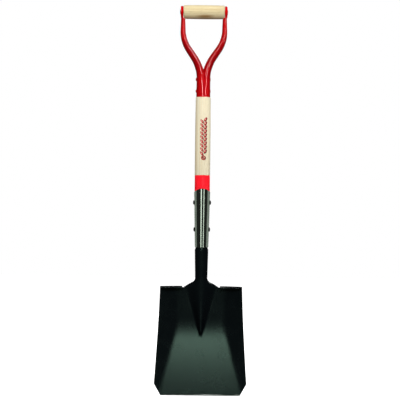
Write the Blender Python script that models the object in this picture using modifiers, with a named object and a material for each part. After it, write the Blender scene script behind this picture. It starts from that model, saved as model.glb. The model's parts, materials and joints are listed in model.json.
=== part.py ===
"""Square point shovel with a riveted D grip.

Run in Blender 4.5: blender --background --python part.py

Frame: metres, +Z up along the wooden shaft, +X to the right, the blade's load side facing -Y.
The origin is the middle of the grip's underside, where a hook carries the hanging shovel.
Heights inside this file are measured up from the cutting edge, on an empty placed that far down.
"""

import math

import bmesh
import bpy
from mathutils import Vector

MM = 0.001
GAP = 0.3 * MM  # between pieces that touch

# ---- Driving dimensions -------------------------------------------------------------------
GRIP_HEIGHT = 1007.2 * MM
GRIP_RADIUS = 18.5 * MM
HANG_HEIGHT = GRIP_HEIGHT - GRIP_RADIUS
GRIP_HALF_LENGTH = 54.5 * MM
GRIP_END_RADIUS = 17.9 * MM
GRIP_EDGE = 2.5 * MM

# Blade: one pressed sheet with its socket.
SHEET = 2.0 * MM
BLADE_TOP = 278.3 * MM  # where the treads start to bend and the socket starts to close
CHAMFER_HEIGHT = 30.0 * MM
EDGE_HALF_WIDTH = 103.5 * MM  # at the cutting edge
WIDEST_HALF_WIDTH = 120.1 * MM  # at the top of the corner chamfer
TOP_HALF_WIDTH = 107.6 * MM
LIFT = math.radians(20.0)  # how far the floor tips forward from the shaft
FLOOR_TOP = 132.0 * MM  # the flat floor ends here
HEEL_TOP = 238.0 * MM  # and the sheet is upright from here
WING_ANGLE = math.radians(23.0)
FOLD_AT_EDGE = 110.0 * MM  # half width between the two wing folds, at the cutting edge
FOLD_TAPER = 0.276  # how fast the folds close in with height
FOLD_TURN = 150.0 * MM  # above this they curve back towards the upright
FOLD_CURVE = 2.0  # per metre
FOLD_BLEND = 8.0 * MM
FROG_TIP = 157.0 * MM
FROG_TIP_HALF_WIDTH = 6.0 * MM
FROG_TAPER = 0.333
FROG_NOSE = (149.0 * MM, 165.0 * MM)
CREST_LEAN = 0.02
TREAD_BEND = 1.7 * MM
TREAD_DROP = math.radians(12.0)
TREAD_DEPTH = 15.0 * MM
TREAD_CORNER_DEPTH = 5.0 * MM
TREAD_TAPER_LENGTH = 20.0 * MM
NOTCH = 3.5 * MM

# Socket, from its flare to its end inside the collar.
SOCKET_BASE = 303.0 * MM
SOCKET_BASE_RADIUS = 16.3 * MM
SOCKET_NECK = 377.5 * MM
SOCKET_NECK_RADIUS = 17.9 * MM
NECK_LENGTH = 4.5 * MM
SOCKET_TOP = 518.0 * MM
SEAM_HALF_ANGLE = math.radians(8.0)
FLARE_CURVE = 1.15  # the cut edge of the flare runs nearly straight up to the seam

# Collar over the socket.
COLLAR_BOTTOM = 385.2 * MM
COLLAR_SIDE_TOP = 530.7 * MM
COLLAR_CROWN = 9.0 * MM
COLLAR_FOOT_CROWN = 2.0 * MM
COLLAR_BOTTOM_RADIUS = 18.1 * MM
COLLAR_TAPER = 0.0237
COLLAR_WALL = 1.2 * MM
SOCKET_UNDER_COLLAR = 1.7 * MM  # socket's outer radius below the collar's
COLLAR_RIVETS = {"collar_rivet_upper": 502.9 * MM, "collar_rivet_lower": 431.6 * MM}
COLLAR_RIVET_SHANK = 3.2 * MM
COLLAR_RIVET_HEAD = 6.1 * MM
COLLAR_RIVET_RISE = 3.0 * MM

# Wooden shaft.
SHAFT_TIP = 214.0 * MM
SHAFT_TOP = 839.0 * MM
BAND_TOP = 575.0 * MM
BAND_BOTTOM = 527.0 * MM
BAND_RADIUS = 20.2 * MM
BAND_WALL = 0.35 * MM

# Yoke: a socket that parts into two arms, each ending in a cupped ear.
YOKE_BOTTOM = 781.7 * MM
YOKE_MOUTH_RADIUS = 18.8 * MM
YOKE_RADIUS = 18.1 * MM
YOKE_WALL = 1.8 * MM
ARM_START = (9.2 * MM, 836.0 * MM)
ARM_BEND_RADIUS = 89.0 * MM
ARM_SPLAY = math.radians(34.0)
ARM_STRAIGHT = 27.7 * MM
ARM_TOP_BEND = 988.0 * MM
EAR_INNER = 55.1 * MM
EAR_OUTER = 61.9 * MM
EAR_RADIUS = 15.9 * MM
EAR_EDGE = 2.0 * MM
EAR_CUP_RADIUS = 13.2 * MM
EAR_CUP_DEPTH = 4.6 * MM
ROD_RADIUS = 4.0 * MM
ROD_HEAD_RADIUS = 6.6 * MM
ROD_HEAD_RISE = 0.9 * MM
ROD_HEAD_RIM = 0.7 * MM
YOKE_RIVETS = {"yoke_rivet_upper": 828.8 * MM, "yoke_rivet_lower": 797.8 * MM}
YOKE_RIVET_SHANK = 2.4 * MM
YOKE_RIVET_HEAD = 4.6 * MM
YOKE_RIVET_RISE = 2.1 * MM
RIVET_RIM = 1.5 * MM  # thickness of a head below its dome

# Mesh resolution.
ROUND_STEPS = 32
FROG_COLUMNS = 10
ARM_RING = 24


# ---- Scene helpers ------------------------------------------------------------------------
def clear_scene():
    """Remove every object, so the file can be run again in an open Blender."""
    for old in list(bpy.data.objects):
        bpy.data.objects.remove(old, do_unlink=True)


def new_collection(name):
    """A collection linked to the scene."""
    made = bpy.data.collections.new(name)
    bpy.context.scene.collection.children.link(made)
    return made


def material(name, colour, roughness, metallic):
    """A plain Principled material."""
    made = bpy.data.materials.new(name)
    made.use_nodes = True
    shader = made.node_tree.nodes["Principled BSDF"]
    shader.inputs["Base Color"].default_value = (*colour, 1.0)
    shader.inputs["Roughness"].default_value = roughness
    shader.inputs["Metallic"].default_value = metallic
    made.diffuse_color = (*colour, 1.0)
    return made


def place(obj, collection, parent, finish=None):
    """Put an object in one collection only, under its parent empty, with its material."""
    for owner in list(obj.users_collection):
        owner.objects.unlink(obj)
    collection.objects.link(obj)
    obj.parent = parent
    if finish is not None:
        obj.data.materials.clear()
        obj.data.materials.append(finish)
    return obj


def helper(obj, parent):
    """Keep a cutter or a shape to be joined out of the render."""
    place(obj, CUTTERS, parent)
    obj.hide_render = True
    obj.display_type = "WIRE"
    return obj


def mesh_object(name, bm):
    """Turn a bmesh into an object with outward normals, shaded smooth."""
    mesh = bpy.data.meshes.new(name)
    bm.to_mesh(mesh)
    bm.free()
    mesh.shade_smooth()
    return bpy.data.objects.new(name, mesh)


def boolean(target, other, operation="DIFFERENCE"):
    """Add a Boolean modifier with the exact solver."""
    modifier = target.modifiers.new(other.name, "BOOLEAN")
    modifier.operation = operation
    modifier.object = other


def blend(low, high, share):
    """Straight mix of two values or vectors."""
    return low + (high - low) * share


def ease(value, start, end):
    """0 at start, 1 at end, with flat ends."""
    t = min(1.0, max(0.0, (value - start) / (end - start)))
    return t * t * (3.0 - 2.0 * t)


def along_points(points, value):
    """Value of a line drawn through (position, value) points."""
    for (x0, v0), (x1, v1) in zip(points, points[1:]):
        if value <= x1:
            return blend(v0, v1, max(0.0, (value - x0) / (x1 - x0)))
    return points[-1][1]


def turned(name, profile, axis="Z", steps=ROUND_STEPS):
    """A solid of revolution from (radius, position) points that run down the outer side."""
    bm = bmesh.new()
    corners = [bm.verts.new((radius, 0.0, position)) for radius, position in profile]
    for first, second in zip(corners, corners[1:]):
        bm.edges.new((first, second))
    if profile[0][0] > 0.0:
        bm.edges.new((corners[-1], corners[0]))
    obj = mesh_object(name, bm)
    screw = obj.modifiers.new("Turn", "SCREW")
    screw.axis = "Z"
    screw.steps = steps
    screw.render_steps = steps
    screw.use_merge_vertices = True
    screw.merge_threshold = 0.00001
    if axis == "X":
        obj.rotation_euler = (0.0, math.pi / 2.0, 0.0)
    return obj


def cross_pin(name, radius, half_length, height, steps=20):
    """A cutter along X through the shaft."""
    bpy.ops.mesh.primitive_cylinder_add(
        vertices=steps, radius=radius, depth=2.0 * half_length, rotation=(0.0, math.pi / 2.0, 0.0)
    )
    obj = bpy.context.object
    obj.name = name
    obj.location = (0.0, 0.0, height)
    return obj


def loft(name, rings):
    """A closed tube of faces through rings of equal length, capped at both ends."""
    bm = bmesh.new()
    rows = [[bm.verts.new(point) for point in ring] for ring in rings]
    count = len(rows[0])
    for low, high in zip(rows, rows[1:]):
        for i in range(count):
            j = (i + 1) % count
            bm.faces.new((low[i], low[j], high[j], high[i]))
    bm.faces.new(list(reversed(rows[0])))
    bm.faces.new(rows[-1])
    bmesh.ops.recalc_face_normals(bm, faces=bm.faces)
    return mesh_object(name, bm)


# ---- Blade --------------------------------------------------------------------------------
def floor_y(z):
    """Front of the blade's floor: straight up to FLOOR_TOP, then easing upright at the heel."""
    slope = math.tan(LIFT)
    heel = HEEL_TOP - FLOOR_TOP
    tip = -slope * (FLOOR_TOP + heel / 2.0)
    if z <= FLOOR_TOP:
        return tip + slope * z
    t = min(1.0, (z - FLOOR_TOP) / heel)
    return tip + slope * (FLOOR_TOP + heel * (t - t**3 + t**4 / 2.0))


def half_width(z):
    """Half width of the blade's outline."""
    if z <= CHAMFER_HEIGHT:
        return blend(EDGE_HALF_WIDTH, WIDEST_HALF_WIDTH, z / CHAMFER_HEIGHT)
    share = (BLADE_TOP - z) / (BLADE_TOP - CHAMFER_HEIGHT)
    return blend(TOP_HALF_WIDTH, WIDEST_HALF_WIDTH, max(0.0, share) ** 1.2)


def fold_x(z):
    """Half width between the folds where the wings turn up."""
    return FOLD_AT_EDGE - FOLD_TAPER * z + FOLD_CURVE * max(0.0, z - FOLD_TURN) ** 2


def frog_half_width(z):
    """Half width of the ridge that runs down from the socket; below its tip it only spaces columns."""
    if z >= FROG_TIP:
        return FROG_TIP_HALF_WIDTH + FROG_TAPER * (z - FROG_TIP)
    return FROG_TIP_HALF_WIDTH + 0.5 * FROG_TAPER * (FROG_TIP - z)


def frog_rise(z):
    """How far the ridge's crest stands forward of the floor."""
    crest = -SOCKET_BASE_RADIUS - CREST_LEAN * (SOCKET_BASE - z)
    return max(0.0, floor_y(z) - crest) * ease(z, *FROG_NOSE)


def blade_point(x, z):
    """A point on the blade's front surface."""
    past_fold = abs(x) - fold_x(z) + FOLD_BLEND
    if past_fold <= 0.0:
        wing = 0.0
    elif past_fold < 2.0 * FOLD_BLEND:
        wing = past_fold**2 / (4.0 * FOLD_BLEND)
    else:
        wing = past_fold - FOLD_BLEND
    across = min(1.0, abs(x) / frog_half_width(z))
    ridge = frog_rise(z) * math.cos(math.pi / 2.0 * across) ** 2
    return Vector((x, floor_y(z) - math.tan(WING_ANGLE) * wing - ridge, z))


def blade_columns(z):
    """Positions across the right half of the blade: ridge, notch edge, floor, fold and wing."""
    ridge = frog_half_width(z)
    inner = max(fold_x(z) - FOLD_BLEND, ridge + NOTCH + 3.0 * MM)
    outer = min(max(fold_x(z) + FOLD_BLEND, inner + 6.0 * MM), half_width(z) - 4.0 * MM)
    inner = min(inner, outer - 6.0 * MM)
    columns = [ridge * i / FROG_COLUMNS for i in range(FROG_COLUMNS + 1)]
    columns += [ridge + NOTCH]
    columns += [blend(ridge + NOTCH, inner, i / 2.0) for i in (1, 2)]
    columns += [blend(inner, outer, i / 3.0) for i in (1, 2, 3)]
    columns += [blend(outer, half_width(z), i / 3.0) for i in (1, 2, 3)]
    return columns


def tread_row(columns, turn, reach):
    """A row of the tread: turned that far round its bend, and that share of its depth forward."""
    row = []
    for x in columns:
        base = blade_point(x, BLADE_TOP)
        from_corner = max(0.0, x - (TOP_HALF_WIDTH - TREAD_TAPER_LENGTH)) / TREAD_TAPER_LENGTH
        depth = blend(TREAD_DEPTH, TREAD_CORNER_DEPTH, from_corner**2) * reach
        y = base.y - TREAD_BEND * (1.0 - math.cos(turn)) - depth * math.cos(TREAD_DROP)
        z = base.z + TREAD_BEND * math.sin(turn) - depth * math.sin(TREAD_DROP)
        row.append(Vector((x, y, z)))
    return row


def socket_radius(z):
    """Outer radius of the socket: it widens upwards, then necks in to slip inside the collar."""
    if z <= SOCKET_NECK:
        return along_points(
            [(SOCKET_BASE, SOCKET_BASE_RADIUS), (SOCKET_NECK, SOCKET_NECK_RADIUS)], z
        )
    inside = collar_radius(z) - SOCKET_UNDER_COLLAR
    return blend(SOCKET_NECK_RADIUS, inside, ease(z, SOCKET_NECK, SOCKET_NECK + NECK_LENGTH))


def socket_point(share, z):
    """A point round the socket; share 0 is its front and 1 the edge of the seam at the back."""
    angle = share * (math.pi - SEAM_HALF_ANGLE)
    radius = socket_radius(z)
    return Vector((radius * math.sin(angle), -radius * math.cos(angle), z))


def flare_row(up):
    """A row between the blade's top and the closed socket, at that share of the height."""
    z = blend(BLADE_TOP, SOCKET_BASE, up)
    row = []
    for i in range(FROG_COLUMNS + 1):
        share = i / FROG_COLUMNS
        closing = blend(ease(up, 0.0, 1.0), up**FLARE_CURVE, share * share)
        start = blade_point(frog_half_width(BLADE_TOP) * share, BLADE_TOP)
        point = start.lerp(socket_point(share, SOCKET_BASE), closing)
        row.append(Vector((point.x, point.y, z)))
    return row


def mirrored(row):
    """The left half of a row, from its outer end to the middle."""
    return [Vector((-point.x, point.y, point.z)) for point in reversed(row[1:])]


def add_strip(bm, low, high):
    """Faces between two rows of vertices, facing forward."""
    for i in range(len(low) - 1):
        bm.faces.new((low[i], low[i + 1], high[i + 1], high[i]))


def make_blade():
    """The pressed blade with its wings, ridge, treads and rolled socket."""
    heights = [0.0, 10.0, 20.0, 30.0, 60.0, 95.0, 128.0, 146.0, 151.0, 156.0, 161.0, 167.0]
    heights = [h * MM for h in heights] + [blend(176.0 * MM, BLADE_TOP, i / 8.0) for i in range(9)]
    bm = bmesh.new()

    def add_row(points):
        return [bm.verts.new(point) for point in points]

    rows = []
    for z in heights:
        right = [blade_point(x, z) for x in blade_columns(z)]
        rows.append(add_row(mirrored(right) + right))
    for low, high in zip(rows, rows[1:]):
        add_strip(bm, low, high)

    # Treads, from the notch column outwards on each side.
    tread_start = FROG_COLUMNS + 1
    columns = blade_columns(BLADE_TOP)[tread_start:]
    full_turn = math.pi / 2.0 + TREAD_DROP
    bends = [(full_turn * i / 4.0, 0.0) for i in (1, 2, 3, 4)] + [(full_turn, 0.5), (full_turn, 1.0)]
    top = rows[-1]
    left, right = top[: len(columns)], top[-len(columns) :]
    for turn, reach in bends:
        points = tread_row(columns, turn, reach)
        next_right = add_row(points)
        next_left = add_row(Vector((-p.x, p.y, p.z)) for p in reversed(points))
        add_strip(bm, right, next_right)
        add_strip(bm, left, next_left)
        left, right = next_left, next_right

    # Socket, from the flare up to its end inside the collar.
    low = top[len(columns) : -len(columns)]
    flare = [flare_row(i / 8.0) for i in range(1, 9)]
    tube = [345.0 * MM, SOCKET_NECK, SOCKET_NECK + 2.5 * MM, SOCKET_NECK + NECK_LENGTH]
    tube += [450.0 * MM, SOCKET_TOP]
    shares = [i / FROG_COLUMNS for i in range(FROG_COLUMNS + 1)]
    flare += [[socket_point(share, z) for share in shares] for z in tube]
    for row in flare:
        high = add_row(mirrored(row) + row)
        add_strip(bm, low, high)
        low = high

    blade = mesh_object("blade", bm)
    wall = blade.modifiers.new("Sheet", "SOLIDIFY")
    wall.thickness = SHEET
    wall.offset = -1.0
    wall.use_even_offset = True
    wall.use_quality_normals = True
    place(blade, SHOVEL, FRAME, material("black_enamel", (0.02, 0.025, 0.025), 0.35, 0.3))
    for name, height in COLLAR_RIVETS.items():
        hole = cross_pin("blade_hole_" + name, COLLAR_RIVET_SHANK + GAP, 30.0 * MM, height)
        boolean(blade, helper(hole, FRAME))
    return blade


# ---- Collar -------------------------------------------------------------------------------
def collar_radius(z):
    """Outer radius of the collar, which follows the socket's taper."""
    return COLLAR_BOTTOM_RADIUS + COLLAR_TAPER * (z - COLLAR_BOTTOM)


def make_collar():
    """A tapered sleeve whose top and foot are crowned at the front and the back."""
    bm = bmesh.new()
    levels = 8
    rows = []
    for i in range(levels + 1):
        row = []
        for k in range(ROUND_STEPS):
            angle = 2.0 * math.pi * k / ROUND_STEPS
            crown = math.cos(angle) ** 2
            foot = COLLAR_BOTTOM - COLLAR_FOOT_CROWN * crown
            top = COLLAR_SIDE_TOP + COLLAR_CROWN * crown
            z = blend(foot, top, i / levels)
            radius = collar_radius(z)
            row.append(bm.verts.new((radius * math.sin(angle), -radius * math.cos(angle), z)))
        rows.append(row + row[:1])
    for low, high in zip(rows, rows[1:]):
        add_strip(bm, low, high)
    collar = mesh_object("collar", bm)
    wall = collar.modifiers.new("Wall", "SOLIDIFY")
    wall.thickness = COLLAR_WALL
    wall.offset = -1.0
    wall.use_even_offset = True
    place(collar, SHOVEL, FRAME, material("plated_steel", (0.55, 0.57, 0.54), 0.3, 1.0))
    for name, height in COLLAR_RIVETS.items():
        hole = cross_pin("collar_hole_" + name, COLLAR_RIVET_SHANK + GAP, 30.0 * MM, height)
        boolean(collar, helper(hole, FRAME))
    return collar


# ---- Wooden shaft and its band --------------------------------------------------------------
def make_shaft():
    """The turned ash shaft, from its tip in the frog to its tenon in the yoke."""
    under_band = BAND_RADIUS - BAND_WALL - GAP
    in_socket = SHEET + 2.0 * GAP
    tip_radius = 6.0 * MM
    neck_wood = socket_radius(SOCKET_NECK + NECK_LENGTH) - in_socket
    mouth_wood = YOKE_MOUTH_RADIUS - YOKE_WALL - 2.0 * GAP
    shoulder = YOKE_BOTTOM - GAP
    profile = [
        (0.0, SHAFT_TOP),
        (9.5 * MM, SHAFT_TOP),
        (11.0 * MM, SHAFT_TOP - 2.0 * MM),
        (13.4 * MM, YOKE_RIVETS["yoke_rivet_upper"]),
        (15.4 * MM, 806.0 * MM),
        (mouth_wood, shoulder + 3.0 * MM),
        (mouth_wood, shoulder),
        (19.2 * MM, shoulder),
        (19.8 * MM, shoulder - 1.2 * MM),
        (20.4 * MM, 690.0 * MM),
        (20.3 * MM, BAND_TOP + GAP + 0.5 * MM),
        (20.1 * MM, BAND_TOP + GAP),
        (under_band, BAND_TOP + GAP),
        (under_band, BAND_BOTTOM - GAP),
        (socket_radius(SOCKET_TOP) - in_socket, SOCKET_TOP + GAP),
        (neck_wood, SOCKET_NECK + NECK_LENGTH),
        (neck_wood - 0.4 * MM, SOCKET_BASE),
        (tip_radius, SHAFT_TIP + 4.0 * MM),
        (0.55 * tip_radius, SHAFT_TIP),
        (0.0, SHAFT_TIP),
    ]
    shaft = turned("shaft", profile)
    place(shaft, SHOVEL, FRAME, material("ash_wood", (0.86, 0.74, 0.52), 0.45, 0.0))
    for rivets, shank in ((COLLAR_RIVETS, COLLAR_RIVET_SHANK), (YOKE_RIVETS, YOKE_RIVET_SHANK)):
        for name, height in rivets.items():
            hole = cross_pin("shaft_hole_" + name, shank + GAP, 30.0 * MM, height)
            boolean(shaft, helper(hole, FRAME))
    return shaft


def make_band():
    """The coloured film band round the shaft, tucked under the collar."""
    inner = BAND_RADIUS - BAND_WALL
    profile = [(inner, BAND_TOP), (BAND_RADIUS, BAND_TOP), (BAND_RADIUS, BAND_BOTTOM), (inner, BAND_BOTTOM)]
    band = turned("shaft_band", profile)
    return place(band, SHOVEL, FRAME, material("red_film", (0.85, 0.03, 0.03), 0.35, 0.0))


# ---- Yoke ---------------------------------------------------------------------------------
def arm_path():
    """Stations up one arm as (x, z, lean): upright, splayed through two equal bends, upright."""
    x, z = ARM_START
    stations = [(x, height * MM, 0.0) for height in (YOKE_BOTTOM / MM, 792.0, 802.0, 812.0, 821.0, 829.0)]
    for i in range(7):
        lean = ARM_SPLAY * i / 6.0
        x = ARM_START[0] + ARM_BEND_RADIUS * (1.0 - math.cos(lean))
        z = ARM_START[1] + ARM_BEND_RADIUS * math.sin(lean)
        stations.append((x, z, lean))
    x += ARM_STRAIGHT * math.sin(ARM_SPLAY)
    z += ARM_STRAIGHT * math.cos(ARM_SPLAY)
    for i in range(7):
        lean = ARM_SPLAY * (1.0 - i / 6.0)
        stations.append(
            (
                x + ARM_BEND_RADIUS * (math.cos(lean) - math.cos(ARM_SPLAY)),
                z + ARM_BEND_RADIUS * (math.sin(ARM_SPLAY) - math.sin(lean)),
                lean,
            )
        )
    x = stations[-1][0]
    ear_middle = (EAR_INNER + EAR_OUTER) / 2.0
    stations += [(x, 975.0 * MM, 0.0), (x, ARM_TOP_BEND, 0.0)]
    stations += [(blend(x, ear_middle, 0.6), ARM_TOP_BEND + 6.5 * MM, 0.0)]
    stations += [(ear_middle, ARM_TOP_BEND + 14.0 * MM, 0.0)]
    return stations


ARM_HALF_WIDTHS = [
    (YOKE_BOTTOM, 9.0 * MM),
    (836.0 * MM, 9.2 * MM),
    (862.0 * MM, 10.2 * MM),
    (905.0 * MM, 9.2 * MM),
    (944.0 * MM, 7.6 * MM),
    (ARM_TOP_BEND, 6.0 * MM),
    (ARM_TOP_BEND + 14.0 * MM, 3.2 * MM),
]
ARM_HALF_DEPTHS = [
    (YOKE_BOTTOM, 17.8 * MM),
    (836.0 * MM, 17.0 * MM),
    (870.0 * MM, 14.0 * MM),
    (905.0 * MM, 12.0 * MM),
    (960.0 * MM, 10.8 * MM),
    (ARM_TOP_BEND + 14.0 * MM, 12.0 * MM),
]
ARM_PARTING = (794.0 * MM, 872.0 * MM)  # the socket's round section becomes two ovals
MOUTH_PARTING = 0.25  # at the mouth the two half shells already meet in a shallow groove


def arm_ring(station, inset):
    """One section of the right arm: a round socket low down, an oval tube once the arms have parted."""
    x, z, lean = station
    parted = blend(MOUTH_PARTING, 1.0, ease(z, *ARM_PARTING))
    mouth = along_points([(YOKE_BOTTOM, YOKE_MOUTH_RADIUS), (817.0 * MM, YOKE_RADIUS)], z)
    round_radius = mouth - inset
    half_width_here = along_points(ARM_HALF_WIDTHS, z) - inset
    half_depth = along_points(ARM_HALF_DEPTHS, z) - inset
    ring = []
    for k in range(ARM_RING):
        angle = 2.0 * math.pi * (k + 0.5) / ARM_RING
        across = half_width_here * math.cos(angle)
        oval = Vector(
            (x + across * math.cos(lean), half_depth * math.sin(angle), z - across * math.sin(lean))
        )
        circle = Vector((round_radius * math.cos(angle), round_radius * math.sin(angle), z))
        ring.append(circle.lerp(oval, parted))
    return ring


def make_yoke():
    """The steel yoke: hollow arms, cupped and bored ears, saddles for the grip and rivet holes."""
    path = arm_path()
    yoke = loft("yoke", [arm_ring(station, 0.0) for station in path])
    place(yoke, SHOVEL, FRAME, material("red_enamel", (0.62, 0.01, 0.012), 0.25, 0.0))

    ear = turned("yoke_ear", ear_profile(), axis="X")
    ear.location = (0.0, 0.0, GRIP_HEIGHT)
    boolean(yoke, helper(ear, FRAME), "UNION")

    low_x, low_z, _ = path[0]
    inside = [(low_x, low_z - 4.0 * MM, 0.0), *path[1:-3]]
    bore = loft("yoke_bore", [arm_ring(station, YOKE_WALL) for station in inside])
    boolean(yoke, helper(bore, FRAME))
    saddle = cross_pin("yoke_saddle", GRIP_RADIUS + 0.6 * MM, EAR_INNER, GRIP_HEIGHT, 48)
    boolean(yoke, helper(saddle, FRAME))
    cup = cross_pin("yoke_cup", EAR_CUP_RADIUS, EAR_INNER + EAR_CUP_DEPTH, GRIP_HEIGHT, ROUND_STEPS)
    boolean(yoke, helper(cup, FRAME))
    for name, height in YOKE_RIVETS.items():
        hole = cross_pin("yoke_hole_" + name, YOKE_RIVET_SHANK + GAP, 30.0 * MM, height)
        boolean(yoke, helper(hole, FRAME))

    # The left half is the right half's mirror image.
    mirror = yoke.modifiers.new("Halves", "MIRROR")
    mirror.use_axis = (True, False, False)
    mirror.use_bisect_axis = (True, False, False)
    mirror.bisect_threshold = 0.000001
    mirror.merge_threshold = 0.00001
    return yoke


def ear_profile():
    """Half section of an ear, bored for the rod, from its outer face to the side that faces the grip."""
    bore = ROD_RADIUS + GAP
    corner = [
        (
            EAR_RADIUS - EAR_EDGE * (1.0 - math.sin(angle)),
            EAR_OUTER - EAR_EDGE * (1.0 - math.cos(angle)),
        )
        for angle in (math.pi / 2.0 * i / 4.0 for i in range(5))
    ]
    return [
        (bore, EAR_OUTER),
        *corner,
        (EAR_RADIUS, EAR_INNER - 1.0 * MM),
        (bore, EAR_INNER - 1.0 * MM),
    ]


# ---- Grip, its rod and the rivets -----------------------------------------------------------
def make_grip(axle):
    """The turned wooden grip, slightly barrelled, bored for its rod."""
    bore = ROD_RADIUS + GAP
    half = GRIP_HALF_LENGTH
    side = [
        (bore, half),
        (GRIP_END_RADIUS - GRIP_EDGE, half),
        (GRIP_END_RADIUS - 0.3 * GRIP_EDGE, half - 0.3 * GRIP_EDGE),
        (GRIP_END_RADIUS, half - GRIP_EDGE),
        (blend(GRIP_END_RADIUS, GRIP_RADIUS, 0.75), 0.5 * half),
    ]
    profile = [*side, (GRIP_RADIUS, 0.0), *[(radius, -x) for radius, x in reversed(side)]]
    grip = turned("grip", profile, axis="X", steps=40)
    return place(grip, SHOVEL, axle, material("grip_wood", (0.82, 0.69, 0.47), 0.5, 0.0))


def head_arc(head_radius, rise, base, count=4):
    """Domed rivet head as (radius, position) points from its crown to its rim."""
    return [
        (head_radius * math.sin(angle), base + rise * math.cos(angle))
        for angle in (math.pi / 2.0 * i / count for i in range(count + 1))
    ]


def two_headed(name, shank, head_radius, head_base, rise, far_rise, rim):
    """A pin along X with a head at each end: a dome on a rim of that thickness."""
    near = head_arc(head_radius, rise, head_base)
    far = [(radius, -x) for radius, x in reversed(head_arc(head_radius, far_rise, head_base))]
    profile = [
        *near,
        (head_radius, head_base - rim),
        (shank, head_base - rim),
        (shank, rim - head_base),
        (head_radius, rim - head_base),
        *far,
    ]
    return turned(name, profile, axis="X", steps=24)


def make_rivet(name, height, surface_radius, shank, head_radius, rise, far_rise, finish):
    """A through rivet; its heads sit on the round surface they clamp."""
    rivet = two_headed(
        name, shank, head_radius, surface_radius - 0.4 * MM, rise, far_rise, RIVET_RIM
    )
    rivet.location = (0.0, 0.0, height)
    place(rivet, SHOVEL, FRAME, finish)
    # The heads' undersides are hollowed to the surface, leaving the shank alone.
    seat = turned(
        name + "_seat",
        [
            (surface_radius + GAP, 12.0 * MM),
            (surface_radius + GAP, -12.0 * MM),
            (surface_radius - 6.0 * MM, -12.0 * MM),
            (surface_radius - 6.0 * MM, 12.0 * MM),
        ],
        steps=64,
    )
    seat.location = (0.0, 0.0, height)
    helper(seat, FRAME)
    shield = cross_pin(name + "_shield", shank + 0.01 * MM, 40.0 * MM, height, 24)
    boolean(seat, helper(shield, FRAME))
    boolean(rivet, seat)
    return rivet


def make_rod():
    """The steel rod through both ears, headed at each end."""
    rod = two_headed(
        "grip_rod",
        ROD_RADIUS,
        ROD_HEAD_RADIUS,
        EAR_OUTER + GAP + ROD_HEAD_RIM,
        ROD_HEAD_RISE,
        ROD_HEAD_RISE,
        ROD_HEAD_RIM,
    )
    rod.location = (0.0, 0.0, GRIP_HEIGHT)
    return place(rod, SHOVEL, FRAME, material("rod_steel", (0.5, 0.5, 0.5), 0.4, 1.0))


clear_scene()
SHOVEL = new_collection("square_point_shovel")
CUTTERS = new_collection("cutters")
FRAME = bpy.data.objects.new("cutting_edge_height", None)
FRAME.location = (0.0, 0.0, -HANG_HEIGHT)
SHOVEL.objects.link(FRAME)
GRIP_AXLE = bpy.data.objects.new("grip_axle", None)
SHOVEL.objects.link(GRIP_AXLE)
GRIP_AXLE.parent = FRAME
GRIP_AXLE.location = (0.0, 0.0, GRIP_HEIGHT)

make_blade()
make_collar()
make_shaft()
make_band()
make_yoke()
make_grip(GRIP_AXLE)
make_rod()
BLACK_RIVET = material("black_rivet", (0.03, 0.03, 0.03), 0.4, 0.8)
RED_RIVET = material("red_rivet", (0.35, 0.01, 0.012), 0.3, 0.2)
for rivet_name, rivet_height in COLLAR_RIVETS.items():
    make_rivet(
        rivet_name,
        rivet_height,
        collar_radius(rivet_height),
        COLLAR_RIVET_SHANK,
        COLLAR_RIVET_HEAD,
        COLLAR_RIVET_RISE,
        COLLAR_RIVET_RISE,
        BLACK_RIVET,
    )
for rivet_name, rivet_height in YOKE_RIVETS.items():
    make_rivet(
        rivet_name,
        rivet_height,
        YOKE_RADIUS + 0.2 * MM,
        YOKE_RIVET_SHANK,
        YOKE_RIVET_HEAD,
        0.35 * YOKE_RIVET_RISE,
        YOKE_RIVET_RISE,
        RED_RIVET,
    )
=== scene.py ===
"""Square point shovel with a D grip: its finished surfaces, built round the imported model.

Lengths are in metres. Heights named here are measured up from the blade's cutting edge, and each
finished piece is lowered by HANG_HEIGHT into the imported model's frame, whose origin lies under the
grip. +Z runs up the shaft, +X along the grip, and the blade's load side faces -Y.
"""

from __future__ import annotations

import json
import logging
import math
from collections.abc import Callable, Sequence
from dataclasses import dataclass
from enum import Enum

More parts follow.
